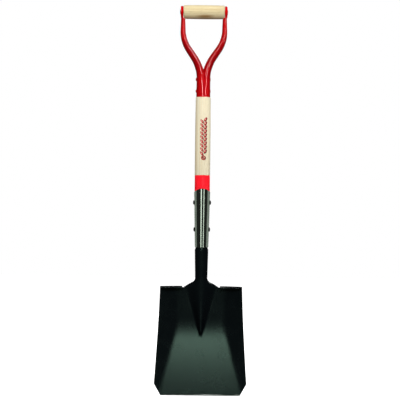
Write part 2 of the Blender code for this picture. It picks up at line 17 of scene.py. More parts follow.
import bmesh
import bpy
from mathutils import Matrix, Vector

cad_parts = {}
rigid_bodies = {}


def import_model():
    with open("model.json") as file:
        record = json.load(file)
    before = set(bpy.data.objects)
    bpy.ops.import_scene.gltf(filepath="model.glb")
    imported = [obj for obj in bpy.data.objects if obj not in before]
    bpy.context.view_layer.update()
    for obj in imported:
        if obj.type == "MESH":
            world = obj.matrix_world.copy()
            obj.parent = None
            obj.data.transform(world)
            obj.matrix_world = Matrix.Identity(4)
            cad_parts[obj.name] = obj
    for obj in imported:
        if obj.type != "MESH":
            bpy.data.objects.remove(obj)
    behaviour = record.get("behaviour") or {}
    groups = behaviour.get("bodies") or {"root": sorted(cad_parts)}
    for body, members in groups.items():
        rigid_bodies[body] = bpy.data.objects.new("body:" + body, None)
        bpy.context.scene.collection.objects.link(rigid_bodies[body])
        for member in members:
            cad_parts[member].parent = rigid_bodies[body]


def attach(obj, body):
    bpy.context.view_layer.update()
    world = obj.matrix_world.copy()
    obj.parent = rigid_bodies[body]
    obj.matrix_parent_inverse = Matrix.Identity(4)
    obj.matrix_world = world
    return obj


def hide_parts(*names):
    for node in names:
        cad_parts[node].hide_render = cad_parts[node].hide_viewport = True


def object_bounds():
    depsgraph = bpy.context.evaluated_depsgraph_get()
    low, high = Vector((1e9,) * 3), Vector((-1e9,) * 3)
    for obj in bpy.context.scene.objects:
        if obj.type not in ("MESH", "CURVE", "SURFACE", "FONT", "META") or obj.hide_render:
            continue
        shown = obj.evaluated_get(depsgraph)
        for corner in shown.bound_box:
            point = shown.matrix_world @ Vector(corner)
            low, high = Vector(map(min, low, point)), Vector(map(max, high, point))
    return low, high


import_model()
CAD_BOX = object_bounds()

LOG = logging.getLogger("shovel")

MM = 0.001
GRIP_HEIGHT = 1007.2 * MM
GRIP_RADIUS = 18.5 * MM
HANG_HEIGHT = GRIP_HEIGHT - GRIP_RADIUS  # the frame's origin, above the cutting edge
GAP = 0.3 * MM  # between pieces that touch
THROUGH = 30.0 * MM  # half the length of a drill that passes right through the shovel
TURNED_POINTS = 128  # round a turned wooden piece
HOLE_POINTS = 48  # round a hole or a rivet

Colour = tuple[float, float, float]
Place = tuple[float, float, float]
Point = tuple[float, float]
Outline = Callable[[float, float], Point]  # from a spot of the unit square to a place
Piece = bpy.types.Object
Socket = bpy.types.NodeSocket


# ---- Small sums ---------------------------------------------------------------------------
def blend(low: float, high: float, share: float) -> float:
    """Return the straight mix of two values."""
    return low + (high - low) * share


def ease(value: float, start: float, end: float) -> float:
    """Return 0 at start and 1 at end, flat at both ends."""
    t = min(1.0, max(0.0, (value - start) / (end - start)))
    return t * t * (3.0 - 2.0 * t)


def along_points(points: Sequence[Point], value: float) -> float:
    """Return the height of a line drawn through (position, height) points.

    Args:
        points: the line's points, in rising order of position.
        value: the position asked for.

    Returns:
        The line's height there; past either end, the end's own height.
    """
    for (x0, v0), (x1, v1) in zip(points, points[1:]):
        if value <= x1:
            return blend(v0, v1, max(0.0, (value - x0) / (x1 - x0)))
    return points[-1][1]


def scatter(column: int, row: int) -> float:
    """Return a fixed number from 0 to 1 for a cell, the same in every run."""
    return math.sin(column * 127.1 + row * 311.7) * 43758.5453 % 1.0


def quarter(steps: int) -> list[Point]:
    """Return the (cosine, sine) points of a quarter turn, from 0 to 90 degrees."""
    angles = [math.pi / 2.0 * i / steps for i in range(steps + 1)]
    return [(math.cos(angle), math.sin(angle)) for angle in angles]


# ---- Bench work ---------------------------------------------------------------------------
class Lie(Enum):
    """The way that a turned piece's axis lies when it is done."""

    UPRIGHT = "Z"
    ACROSS = "X"


@dataclass(frozen=True)
class Ring:
    """One closed ring of points on the way up a tube.

    Attributes:
        x: middle of the ring across the shovel.
        z: height of its middle.
        across: half width in the ring's own plane.
        deep: half depth, front to back.
        lean: how far the tube leans towards +X there.
    """

    x: float
    z: float
    across: float
    deep: float
    lean: float = 0.0


def only(piece: Piece) -> None:
    """Select one piece alone and make it the active one."""
    bpy.ops.object.select_all(action="DESELECT")
    piece.select_set(True)
    bpy.context.view_layer.objects.active = piece


def apply_modifiers(piece: Piece) -> None:
    """Apply every modifier on a piece, in order."""
    only(piece)
    for modifier in list(piece.modifiers):
        bpy.ops.object.modifier_apply(modifier=modifier.name)


def cut(piece: Piece, tool: Piece, operation: str = "DIFFERENCE") -> None:
    """Join or cut a piece with another shape, which is used up.

    Args:
        piece: what is changed.
        tool: the shape that is cut away or joined on.
        operation: DIFFERENCE or UNION.
    """
    modifier = piece.modifiers.new("Cut", "BOOLEAN")
    modifier.operation = operation
    modifier.solver = "EXACT"
    modifier.object = tool
    apply_modifiers(piece)
    bpy.data.objects.remove(tool, do_unlink=True)


def soften(piece: Piece, width: float, segments: int, angle: float) -> None:
    """Round a piece's sharp edges.

    Args:
        piece: what is rounded.
        width: the round's width.
        segments: how many faces the round has.
        angle: the least angle, in degrees, of an edge that counts as sharp.
    """
    bevel = piece.modifiers.new("Round", "BEVEL")
    bevel.width = width
    bevel.segments = segments
    bevel.limit_method = "ANGLE"
    bevel.angle_limit = math.radians(angle)
    apply_modifiers(piece)


def smooth(piece: Piece, angle: float) -> None:
    """Shade a piece smooth, apart from edges sharper than an angle in degrees."""
    only(piece)
    bpy.ops.object.shade_smooth_by_angle(angle=math.radians(angle))


def reshape(last: Ring, ring: Ring) -> None:
    """Turn the selected ring from one shape, place and lean to the next."""
    middle = Vector((last.x, 0.0, last.z))
    if last.lean:
        bpy.ops.transform.rotate(value=last.lean, orient_axis="Y", center_override=middle)
    size = (ring.across / last.across, ring.deep / last.deep, 1.0)
    bpy.ops.transform.resize(value=size, center_override=middle)
    bpy.ops.transform.translate(value=(ring.x - last.x, 0.0, ring.z - last.z))
    if ring.lean:
        middle = Vector((ring.x, 0.0, ring.z))
        bpy.ops.transform.rotate(value=-ring.lean, orient_axis="Y", center_override=middle)


def draw_tube(name: str, rings: Sequence[Ring], points: int, hollow: bool = False) -> Piece:
    """Draw a tube by extruding one ring from station to station.

    Args:
        name: the piece's name.
        rings: its stations in order.
        points: how many points a ring has.
        hollow: True joins the last ring to the first, for a wall that comes back inside itself.

    Returns:
        The closed piece, at the origin, with its normals outwards.
    """
    bpy.ops.object.select_all(action="DESELECT")
    fill = "NOTHING" if hollow else "NGON"
    bpy.ops.mesh.primitive_circle_add(vertices=points, radius=1.0, fill_type=fill)
    tube = bpy.context.object
    tube.name = name
    tube.data.name = name
    bpy.ops.object.mode_set(mode="EDIT")
    bpy.ops.mesh.select_all(action="SELECT")
    last = Ring(0.0, 0.0, 1.0, 1.0)
    reshape(last, rings[0])
    for last, ring in zip(rings, rings[1:]):
        bpy.ops.mesh.extrude_region_move()
        reshape(last, ring)
    if hollow:
        bpy.ops.mesh.select_all(action="DESELECT")
        bpy.ops.mesh.select_non_manifold()
        bpy.ops.mesh.bridge_edge_loops()
    bpy.ops.mesh.select_all(action="SELECT")
    bpy.ops.mesh.normals_make_consistent(inside=False)
    bpy.ops.object.mode_set(mode="OBJECT")
    return tube


def turned(name: str, profile: Sequence[Point], points: int, hollow: bool = False) -> Piece:
    """Draw a turned piece up Z from (radius, height) points."""
    rings = [Ring(0.0, height, radius, radius) for radius, height in profile]
    return draw_tube(name, rings, points, hollow)


def set_down(piece: Piece, height: float = 0.0, lie: Lie = Lie.UPRIGHT) -> Piece:
    """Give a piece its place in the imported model's frame and fix that in its mesh.

    Args:
        piece: a piece drawn about the origin.
        height: how far its origin stands above the cutting edge.
        lie: ACROSS turns its axis from Z to X.

    Returns:
        The same piece.
    """
    if lie is Lie.ACROSS:
        piece.rotation_euler = (0.0, math.pi / 2.0, 0.0)
    piece.location = (0.0, 0.0, height - HANG_HEIGHT)
    only(piece)
    bpy.ops.object.transform_apply(location=True, rotation=True, scale=True)
    return piece


def fit(piece: Piece, body: str, slot: str, finish: bpy.types.Material, *nodes: str) -> Piece:
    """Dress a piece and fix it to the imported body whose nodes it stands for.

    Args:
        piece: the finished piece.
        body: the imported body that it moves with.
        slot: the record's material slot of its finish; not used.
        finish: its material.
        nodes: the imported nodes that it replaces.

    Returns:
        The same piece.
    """
    piece.data.materials.clear()
    piece.data.materials.append(finish)
    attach(piece, body)
    if nodes:
        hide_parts(*nodes)
    return piece


def cross_hole(name: str, radius: float, reach: float, height: float) -> Piece:
    """Draw a round cutter along X through the middle, at a height above the cutting edge."""
    hole = turned(name, [(radius, -reach), (radius, reach)], HOLE_POINTS)
    return set_down(hole, height, Lie.ACROSS)


def drill(piece: Piece, radius: float, heights: Sequence[float]) -> None:
    """Drill a piece along X for rivets of a radius, at heights above the cutting edge."""
    for height in heights:
        cut(piece, cross_hole("drill", radius + GAP, THROUGH, height))


class SubAssembly:
    """A part of the shovel that builds its own pieces and dresses them."""

    def dress(self) -> list[Piece]:
        """Return the finished pieces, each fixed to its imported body."""
        raise NotImplementedError


# ---- Finishes -----------------------------------------------------------------------------
class Recipe:
    """A finish's node tree while it is being wired."""

    def __init__(self, name: str) -> None:
        """Start a material with its one main shader."""
        self.material = bpy.data.materials.new(name)
        self.material.use_nodes = True
        self.tree = self.material.node_tree
        self.shader = self.tree.nodes["Principled BSDF"]

    def fixed(self, **values: float | Colour) -> None:
        """Set uniform values on the shader's own sockets, underscores standing for spaces."""
        for name, value in values.items():
            socket = self.shader.inputs[name.replace("_", " ")]
            socket.default_value = (*value, 1.0) if isinstance(value, tuple) else value

    def node(self, kind: str, **settings: object) -> bpy.types.Node:
        """Add a node of a kind and set its properties."""
        made = self.tree.nodes.new("ShaderNode" + kind)
        for name, value in settings.items():
            setattr(made, name, value)
        return made

    def feed(self, node: bpy.types.Node, **inputs: object) -> bpy.types.Node:
        """Link or set a node's inputs by name, underscores standing for spaces."""
        for name, value in inputs.items():
            self.plug(value, node.inputs[name.replace("_", " ")])
        return node

    def plug(self, value: object, socket: Socket) -> None:
        """Link a socket to another's input, or set its value."""
        if isinstance(value, Socket):
            self.tree.links.new(value, socket)
        elif isinstance(value, tuple) and socket.type == "RGBA":
            socket.default_value = (*value, 1.0)
        else:
            socket.default_value = value

    def place(
        self,
        scale: Place = (1.0, 1.0, 1.0),
        centre: Place = (0.0, 0.0, 0.0),
        turn: Place = (0.0, 0.0, 0.0),
    ) -> Socket:
        """Return Object coordinates measured from a centre, then stretched and turned.

        Args:
            scale: how fast a pattern repeats along each axis.
            centre: the point that becomes the pattern's origin.
            turn: Euler angles of the pattern.

        Returns:
            The vector socket.
        """
        source = self.node("TexCoord").outputs["Object"]
        moved = self.node("VectorMath", operation="SUBTRACT")
        self.plug(source, moved.inputs[0])
        self.plug(centre, moved.inputs[1])
        mapping = self.node("Mapping")
        self.feed(mapping, Vector=moved.outputs[0], Scale=scale, Rotation=turn)
        return mapping.outputs["Vector"]

    def noise(
        self, vector: Socket, scale: float, detail: float = 2.0, rough: float = 0.5
    ) -> Socket:
        """Return a cloudy noise from 0 to 1."""
        made = self.feed(
            self.node("TexNoise"), Vector=vector, Scale=scale, Detail=detail, Roughness=rough
        )
        return made.outputs["Fac"]

    def remap(
        self, value: Socket, low: float, high: float, to_low: float, to_high: float
    ) -> Socket:
        """Return a value stretched from one range to another and held within it."""
        made = self.node("MapRange", clamp=True)
        self.plug(value, made.inputs[0])
        for index, bound in enumerate((low, high, to_low, to_high), start=1):
            made.inputs[index].default_value = bound
        return made.outputs[0]

    def sum(self, operation: str, first: object, second: object) -> Socket:
        """Return one Math node's result."""
        made = self.node("Math", operation=operation)
        self.plug(first, made.inputs[0])
        self.plug(second, made.inputs[1])
        return made.outputs[0]

    def mix(self, share: object, first: object, second: object) -> Socket:
        """Return a colour mixed from two by a share."""
        made = self.node("Mix", data_type="RGBA")
        self.plug(share, made.inputs[0])
        self.plug(first, made.inputs[6])
        self.plug(second, made.inputs[7])
        return made.outputs[2]

    def height(self, axis: str = "Z") -> Socket:
        """Return one Object coordinate."""
        split = self.node("SeparateXYZ")
        self.plug(self.node("TexCoord").outputs["Object"], split.inputs[0])
        return split.outputs[axis]

    def relief(self, height: Socket, distance: float, strength: float = 1.0) -> None:
        """Raise the surface by a height pattern, without moving the mesh."""
        bump = self.node("Bump")
        self.feed(bump, Height=height, Distance=distance, Strength=strength)
        self.plug(bump.outputs["Normal"], self.shader.inputs["Normal"])

    def paint(self, colour: object, rough: object) -> bpy.types.Material:
        """Connect the colour and the roughness, and return the finished material."""
        self.plug(colour, self.shader.inputs["Base Color"])
        self.plug(rough, self.shader.inputs["Roughness"])
        return self.material


@dataclass(frozen=True)
class Enamel:
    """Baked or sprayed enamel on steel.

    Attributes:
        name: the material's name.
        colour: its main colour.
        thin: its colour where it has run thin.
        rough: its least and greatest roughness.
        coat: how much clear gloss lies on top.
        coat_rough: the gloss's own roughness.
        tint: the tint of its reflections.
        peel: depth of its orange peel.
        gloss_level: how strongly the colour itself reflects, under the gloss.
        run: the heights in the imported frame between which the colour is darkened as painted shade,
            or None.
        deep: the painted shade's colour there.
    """

    name: str
    colour: Colour
    thin: Colour
    rough: tuple[float, float]
    coat: float = 0.0
    coat_rough: float = 0.1
    tint: Colour = (1.0, 1.0, 1.0)
    peel: float = 0.00003
    gloss_level: float = 0.5
    run: tuple[float, float] | None = None
    deep: Colour = (0.0, 0.0, 0.0)

    def wire(self) -> tuple[Recipe, Socket, Socket]:
        """Return the recipe with its colour and roughness still to be connected."""
        recipe = Recipe(self.name)
        recipe.fixed(
            Coat_Weight=self.coat,
            Coat_Roughness=self.coat_rough,
            Specular_Tint=self.tint,
            Specular_IOR_Level=self.gloss_level,
        )
        where = recipe.place()
        cloud = recipe.noise(where, scale=28.0, detail=3.0)
        speck = recipe.noise(where, scale=900.0, detail=2.0, rough=0.6)
        colour = recipe.mix(recipe.remap(cloud, 0.42, 0.68, 0.0, 0.55), self.colour, self.thin)
        # Painted shade: between the run heights the colour darkens towards deep, standing in for the
        # shade that falls on the yoke's slanting arms.
        if self.run is not None:
            up = recipe.sum("ADD", recipe.height(), recipe.remap(cloud, 0.3, 0.7, -0.008, 0.008))
            low, high = self.run
            into = recipe.remap(up, low - 0.02, low + 0.02, 0.0, 0.8)
            out = recipe.remap(up, high - 0.02, high + 0.02, 1.0, 0.0)
            colour = recipe.mix(recipe.sum("MULTIPLY", into, out), colour, self.deep)
        soft = recipe.sum("MULTIPLY", cloud, 0.7)
        mottle = recipe.sum("ADD", soft, recipe.sum("MULTIPLY", speck, 0.3))
        rough = recipe.remap(mottle, 0.3, 0.7, *self.rough)
        pebble = recipe.noise(where, scale=210.0, detail=1.0)
        recipe.relief(recipe.sum("ADD", pebble, recipe.sum("MULTIPLY", speck, 0.15)), self.peel)
        return recipe, colour, rough

    def make(self) -> bpy.types.Material:
        """Return the finished material."""
        recipe, colour, rough = self.wire()
        return recipe.paint(colour, rough)


@dataclass(frozen=True)
class EdgedEnamel(Enamel):
    """Enamel on a ground edge: the bare steel shows in a thin broken line along it.

    Attributes:
        edge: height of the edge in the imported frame.
        bare: how far up the steel shows.
        steel: the colour of the steel.
    """

    edge: float = 0.0
    bare: float = 3.0 * MM
    steel: Colour = (0.42, 0.46, 0.42)

    def make(self) -> bpy.types.Material:
        """Return the finished material."""
        recipe, colour, rough = self.wire()
        wander = recipe.noise(recipe.place((1.0, 1.0, 0.2)), scale=11.0, detail=3.0, rough=0.5)
        limit = recipe.remap(wander, 0.4, 0.6, self.edge + 0.3 * self.bare, self.edge + self.bare)
        shown = recipe.sum("LESS_THAN", recipe.height(), limit)
        recipe.plug(shown, recipe.shader.inputs["Metallic"])
        scratch = recipe.noise(recipe.place((1.0, 1.0, 30.0)), scale=160.0, detail=2.0)
        worn = recipe.remap(scratch, 0.35, 0.65, 0.3, 0.5)
        bare_rough = recipe.sum("MULTIPLY", shown, worn)
        painted = recipe.sum("MULTIPLY", recipe.sum("SUBTRACT", 1.0, shown), rough)
        mixed = recipe.mix(shown, colour, self.steel)
        return recipe.paint(mixed, recipe.sum("ADD", bare_rough, painted))


@dataclass(frozen=True)
class PlatedSteel:
    """Bright plated steel with hammer marks: polished crowns and duller hollows."""

    name: str = "hammered_plate"
    bright: Colour = (0.62, 0.74, 0.61)
    dull: Colour = (0.42, 0.53, 0.41)
    rough: tuple[float, float] = (0.05, 0.13)

    def make(self) -> bpy.types.Material:
        """Return the finished material."""
        recipe = Recipe(self.name)
        recipe.fixed(Metallic=1.0)
        smoke = recipe.noise(recipe.place((1.0, 1.0, 0.25)), scale=130.0, detail=4.0, rough=0.6)
        grain = recipe.noise(recipe.place((1.0, 1.0, 0.08)), scale=1500.0, detail=2.0, rough=0.6)
        colour = recipe.mix(recipe.remap(smoke, 0.4, 0.7, 0.0, 0.8), self.bright, self.dull)
        rough = recipe.remap(recipe.sum("ADD", smoke, grain), 0.8, 1.3, *self.rough)
        recipe.relief(grain, 0.00002)
        return recipe.paint(colour, rough)


class Grain(Enum):
    """The way that a piece of wood's grain runs."""

    UP = "Z"
    ALONG_GRIP = "X"

    def stretch(self, fine: float, long: float) -> Place:
        """Return a pattern scale that is fine across the grain and long along it."""
        return (fine, fine, long) if self is Grain.UP else (long, fine, fine)


@dataclass(frozen=True)
class Timber:
    """Turned ash under a thin clear lacquer.

    Attributes:
        name: the material's name.
        grain: which way its grain runs.
        pale: early wood.
        dark: late wood.
        heart: the point that its growth rings go round, which lies well off the piece.
        ring: the distance from one growth ring to the next.
        figure: how strongly the rings show.
        lacquer: the weight of its clear coat.
        knot: the middle of a brown knot, or None.
        knot_size: how far the knot reaches along each axis.
        knot_colour: its colour.
    """

    name: str
    grain: Grain
    pale: Colour
    dark: Colour
    heart: Place
    ring: float
    figure: float = 0.5
    lacquer: float = 0.25
    knot: Place | None = None
    knot_size: Place = (0.03, 0.02, 0.007)
    knot_colour: Colour = (0.36, 0.19, 0.06)

    def make(self) -> bpy.types.Material:
        """Return the finished material."""
        recipe = Recipe(self.name)
        recipe.fixed(Coat_Weight=self.lacquer, Coat_Roughness=0.25, Specular_IOR_Level=0.35)
        drawn = recipe.place(self.grain.stretch(1.0, 0.02))
        fibre = recipe.noise(drawn, scale=620.0, detail=3.0, rough=0.6)
        pore = recipe.noise(recipe.place(self.grain.stretch(1.0, 0.035)), scale=1900.0, detail=1.0)
        tone = recipe.noise(recipe.place(self.grain.stretch(1.0, 0.25)), scale=26.0, detail=2.0)
        rings = recipe.node("TexWave", wave_type="RINGS", rings_direction=self.grain.value)
        recipe.feed(
            rings,
            Vector=recipe.place(self.grain.stretch(1.0, 0.22), centre=self.heart),
            Scale=math.tau / 20.0 / self.ring,
            Distortion=3.2,
            Detail=2.0,
            Detail_Scale=30.0,
        )
        late = recipe.remap(rings.outputs["Fac"], 0.55, 1.0, 0.0, self.figure)
        streak = recipe.remap(fibre, 0.38, 0.72, 0.0, 0.4)
        colour = recipe.mix(recipe.sum("ADD", late, streak), self.pale, self.dark)
        faded = tuple(0.86 * part for part in self.pale)
        colour = recipe.mix(recipe.remap(tone, 0.4, 0.75, 0.0, 0.6), colour, faded)
        pored = recipe.remap(pore, 0.60, 0.70, 0.0, 0.42)
        shaded = tuple(0.55 * part for part in self.dark)
        colour = recipe.mix(pored, colour, shaded)
        if self.knot is not None:
            colour = self.with_knot(recipe, colour, fibre)
        hollow = recipe.sum("SUBTRACT", recipe.sum("MULTIPLY", fibre, 0.4), pored)
        recipe.relief(hollow, 0.00008, 0.8)
        return recipe.paint(colour, recipe.remap(fibre, 0.3, 0.7, 0.42, 0.6))

    def with_knot(self, recipe: Recipe, colour: Socket, fibre: Socket) -> Socket:
        """Return the colour with a soft brown oval in it, ragged along the grain."""
        scale = tuple(1.0 / size for size in self.knot_size)
        spot = recipe.node("TexGradient", gradient_type="SPHERICAL")
        recipe.feed(spot, Vector=recipe.place(scale, centre=self.knot))
        ragged = recipe.sum("ADD", spot.outputs["Fac"], recipe.remap(fibre, 0.3, 0.7, -0.22, 0.22))
        return recipe.mix(recipe.remap(ragged, 0.12, 0.75, 0.0, 0.85), colour, self.knot_colour)


@dataclass(frozen=True)
class Film:
    """Printed or shrunk film: flat colour with a slight drag along its length."""

    name: str
    colour: Colour
    faded: Colour
    rough: float = 0.42

    def make(self) -> bpy.types.Material:
        """Return the finished material."""
        recipe = Recipe(self.name)
        recipe.fixed(Specular_IOR_Level=0.4)
        drag = recipe.noise(recipe.place((1.0, 1.0, 0.2)), scale=90.0, detail=3.0)
        ripple = recipe.noise(recipe.place((0.4, 0.4, 1.0)), scale=260.0, detail=2.0)
        recipe.relief(ripple, 0.00004, 0.6)
        colour = recipe.mix(recipe.remap(drag, 0.4, 0.75, 0.0, 0.7), self.colour, self.faded)
        rough = recipe.remap(drag, 0.3, 0.7, self.rough - 0.06, self.rough + 0.08)
        return recipe.paint(colour, rough)


# ---- Blade --------------------------------------------------------------------------------
@dataclass
class Blade(SubAssembly):
    """The pressed steel blade: floor, wings, ridge, foot treads and rolled socket in one sheet.

    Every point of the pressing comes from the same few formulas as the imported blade's, on a much
    finer net, because no run of hand moves would give the ridge, folds and heel their shapes.
    """

    sheet: float = 2.0 * MM
    top: float = 278.3 * MM
    chamfer: float = 30.0 * MM
    edge_half: float = 103.5 * MM
    widest_half: float = 120.1 * MM
    top_half: float = 107.6 * MM
    lift: float = math.radians(20.0)
    floor_top: float = 132.0 * MM
    heel_top: float = 238.0 * MM
    wing_slope: float = math.tan(math.radians(23.0))
    fold_at_edge: float = 110.0 * MM
    fold_taper: float = 0.276
    fold_turn: float = 150.0 * MM
    fold_curve: float = 2.0
    fold_round: float = 8.0 * MM
    ridge_tip: float = 157.0 * MM
    ridge_tip_half: float = 6.0 * MM
    ridge_taper: float = 0.333
    ridge_nose: tuple[float, float] = (149.0 * MM, 165.0 * MM)
    crest_lean: float = 0.02
    tread_bend: float = 1.7 * MM
    tread_drop: float = math.radians(12.0)
    tread_depth: float = 15.0 * MM
    tread_corner: float = 5.0 * MM
    tread_taper: float = 20.0 * MM
    notch: float = 3.5 * MM
    socket_base: float = 303.0 * MM
    socket_radius: float = 16.3 * MM
    neck: float = 377.5 * MM
    neck_radius: float = 17.9 * MM
    neck_length: float = 4.5 * MM
    socket_top: float = 518.0 * MM
    under_collar: float = 1.7 * MM
    seam: float = math.radians(8.0)
    flare_curve: float = 1.15
    edge_round: float = 0.45 * MM
    ridge_columns: int = 18
    columns: int = 56
    rows: int = 116

    def floor_y(self, z: float) -> float:
        """Return the floor's front surface at a height; it eases upright at the heel."""
        slope = math.tan(self.lift)
        heel = self.heel_top - self.floor_top
        tip = -slope * (self.floor_top + heel / 2.0)
        if z <= self.floor_top:
            return tip + slope * z
        t = min(1.0, (z - self.floor_top) / heel)
        return tip + slope * (self.floor_top + heel * (t - t**3 + t**4 / 2.0))

    def half_width(self, z: float) -> float:
        """Return half the outline's width at a height."""
        if z <= self.chamfer:
            return blend(self.edge_half, self.widest_half, z / self.chamfer)
        share = max(0.0, (self.top - z) / (self.top - self.chamfer))
        return blend(self.top_half, self.widest_half, share**1.2)

    def ridge_half(self, z: float) -> float:
        """Return the ridge's half width; below its tip this only spaces the columns."""
        if z >= self.ridge_tip:
            return self.ridge_tip_half + self.ridge_taper * (z - self.ridge_tip)
        return self.ridge_tip_half + 0.5 * self.ridge_taper * (self.ridge_tip - z)

    def fold_x(self, z: float) -> float:
        """Return how far out the wing's fold lies: it closes in with height, then runs upright."""
        above = max(0.0, z - self.fold_turn)
        return self.fold_at_edge - self.fold_taper * z + self.fold_curve * above**2

    def point(self, x: float, z: float) -> Vector:
        """Return the front surface's point at a place across and a height."""
        past = abs(x) - self.fold_x(z) + self.fold_round
        if past <= 0.0:
            wing = 0.0
        elif past < 2.0 * self.fold_round:
            wing = past**2 / (4.0 * self.fold_round)
        else:
            wing = past - self.fold_round
        crest = -self.socket_radius - self.crest_lean * (self.socket_base - z)
        rise = max(0.0, self.floor_y(z) - crest) * ease(z, *self.ridge_nose)
        across = min(1.0, abs(x) / self.ridge_half(z))
        ridge = rise * math.cos(math.pi / 2.0 * across) ** 2
        return Vector((x, self.floor_y(z) - self.wing_slope * wing - ridge, z))

    def column_x(self, column: int, z: float) -> float:
        """Return how far out a column of the net lies at a height: ridge, notch, then the rest."""
        ridge = self.ridge_half(z)
        if column <= self.ridge_columns:
            return ridge * column / self.ridge_columns
        start = ridge + self.notch
        share = (column - self.ridge_columns - 1) / (self.columns - self.ridge_columns - 1)
        return blend(start, self.half_width(z), share)

    def row_z(self, row: int) -> float:
        """Return a row's height; one row lies exactly on the corner chamfer's top."""
        below = round(self.rows * self.chamfer / self.top)
        if row <= below:
            return self.chamfer * row / below
        return blend(self.chamfer, self.top, (row - below) / (self.rows - below))

    def tread_point(self, column: int, turn: float, reach: float) -> Vector:
        """Return a point of the foot tread.

        Args:
            column: the column that it carries on.
            turn: how far round the bend it lies.
            reach: what share of the tread's depth it lies forward of the bend.

        Returns:
            The point, on the sheet's front surface.
        """
        base = self.point(self.column_x(column, self.top), self.top)
        from_corner = max(0.0, base.x - (self.top_half - self.tread_taper)) / self.tread_taper
        depth = blend(self.tread_depth, self.tread_corner, from_corner**2) * reach
        base.y -= self.tread_bend * (1.0 - math.cos(turn)) + depth * math.cos(self.tread_drop)
        base.z += self.tread_bend * math.sin(turn) - depth * math.sin(self.tread_drop)
        return base

    def tube_radius(self, z: float) -> float:
        """Return the socket's outer radius: it widens, then necks in to slip inside the collar."""
        if z <= self.neck:
            line = [(self.socket_base, self.socket_radius), (self.neck, self.neck_radius)]
            return along_points(line, z)
        inside = Collar.radius_at(z) - self.under_collar
        return blend(self.neck_radius, inside, ease(z, self.neck, self.neck + self.neck_length))

    def tube_point(self, share: float, z: float) -> Vector:
        """Return a point round the socket; share 0 is its front and 1 the seam's edge."""
        angle = share * (math.pi - self.seam)
        radius = self.tube_radius(z)
        return Vector((radius * math.sin(angle), -radius * math.cos(angle), z))

    def flare_point(self, share: float, up: float) -> Vector:
        """Return a point a share of the way up from the blade's top to the closed socket."""
        start = self.point(self.ridge_half(self.top) * share, self.top)
        straight = up**self.flare_curve
        closing = blend(ease(up, 0.0, 1.0), straight, share * share)
        point = start.lerp(self.tube_point(share, self.socket_base), closing)
        point.z = blend(self.top, self.socket_base, up)
        return point

    def net(self) -> Piece:
        """Lay a flat grid and press it to the blade's shape, each vertex keeping its column."""
        bpy.ops.object.select_all(action="DESELECT")
        across = 2 * self.columns
        bpy.ops.mesh.primitive_grid_add(x_subdivisions=across, y_subdivisions=self.rows, size=1.0)
        blade = bpy.context.object
        blade.name = "blade_pressing"
        blade.data.name = "blade_pressing"
        bpy.ops.object.mode_set(mode="EDIT")
        mesh = bmesh.from_edit_mesh(blade.data)
        column_of = mesh.verts.layers.int.new("column")
        for vertex in mesh.verts:
            column = round(vertex.co.x * 2.0 * self.columns)
            z = self.row_z(round((vertex.co.y + 0.5) * self.rows))
            place = self.point(self.column_x(abs(column), z), z)
            vertex[column_of] = column
            vertex.co = Vector((math.copysign(place.x, column), place.y, z))
        bmesh.update_edit_mesh(blade.data)
        return blade

    def pull(
        self,
        blade: Piece,
        wanted: Callable[[int], bool],
        steps: Sequence[Callable[[int], Vector]],
    ) -> None:
        """Extrude part of the top edge through a run of rows.

        Args:
            blade: the net, in edit mode.
            wanted: says of a column whether it belongs to that part.
            steps: for each new row, the place of a column's vertex on the right half.
        """
        mesh = bmesh.from_edit_mesh(blade.data)
        column_of = mesh.verts.layers.int["column"]
        bpy.ops.mesh.select_all(action="DESELECT")
        for edge in mesh.edges:
            ends = edge.verts
            on_top = all(abs(end.co.z - self.top) < 1e-6 for end in ends)
            if on_top and edge.is_boundary and all(wanted(end[column_of]) for end in ends):
                edge.select_set(True)
        for step in steps:
            bpy.ops.mesh.extrude_region_move()
            mesh = bmesh.from_edit_mesh(blade.data)
            column_of = mesh.verts.layers.int["column"]
            for vertex in mesh.verts:
                if vertex.select:
                    column = vertex[column_of]
                    place = step(abs(column))
                    vertex.co = Vector((math.copysign(place.x, column), place.y, place.z))
            bmesh.update_edit_mesh(blade.data)

    def build(self) -> Piece:
        """Press the net, pull out its treads and socket, and give the sheet its thickness."""
        blade = self.net()
        whole = math.pi / 2.0 + self.tread_drop
        bends = [(whole * i / 10.0, 0.0) for i in range(1, 11)]
        bends += [(whole, share) for share in (0.25, 0.5, 0.75, 1.0)]
        treads = [
            (lambda column, turn=turn, reach=reach: self.tread_point(column, turn, reach))
            for turn, reach in bends
        ]
        last = self.ridge_columns
        self.pull(blade, lambda column: column > last, treads)
        self.pull(blade, lambda column: column < -last, treads)
        flare = [
            (lambda column, up=i / 26.0: self.flare_point(column / last, up)) for i in range(1, 27)
        ]
        heights = [blend(self.socket_base, self.neck, i / 10.0) for i in range(1, 11)]
        heights += [self.neck + self.neck_length * i / 8.0 for i in range(1, 9)]
        heights += [420.0 * MM, 470.0 * MM, self.socket_top]
        tube = [(lambda column, z=z: self.tube_point(column / last, z)) for z in heights]
        self.pull(blade, lambda column: abs(column) <= last, flare + tube)
        bpy.ops.object.mode_set(mode="OBJECT")

        wall = blade.modifiers.new("Sheet", "SOLIDIFY")
        wall.thickness = self.sheet
        wall.offset = -1.0
        wall.use_even_offset = True
        wall.use_quality_normals = True
        apply_modifiers(blade)
        soften(blade, self.edge_round, 2, 55.0)
        set_down(blade)
        drill(blade, Collar.shank, Collar.rivets)
        smooth(blade, 50.0)
        return blade

    def dress(self) -> list[Piece]:
        """Return the blade in black enamel, bare along its ground edge."""
        enamel = EdgedEnamel(
            name="black_enamel",
            colour=(0.0022, 0.0032, 0.0044),
            thin=(0.0036, 0.005, 0.006),
            rough=(0.245, 0.285),
            tint=(0.60, 1.0, 0.78),
            edge=-HANG_HEIGHT,
        )
        return [fit(self.build(), "tool", "blade", enamel.make(), "blade")]


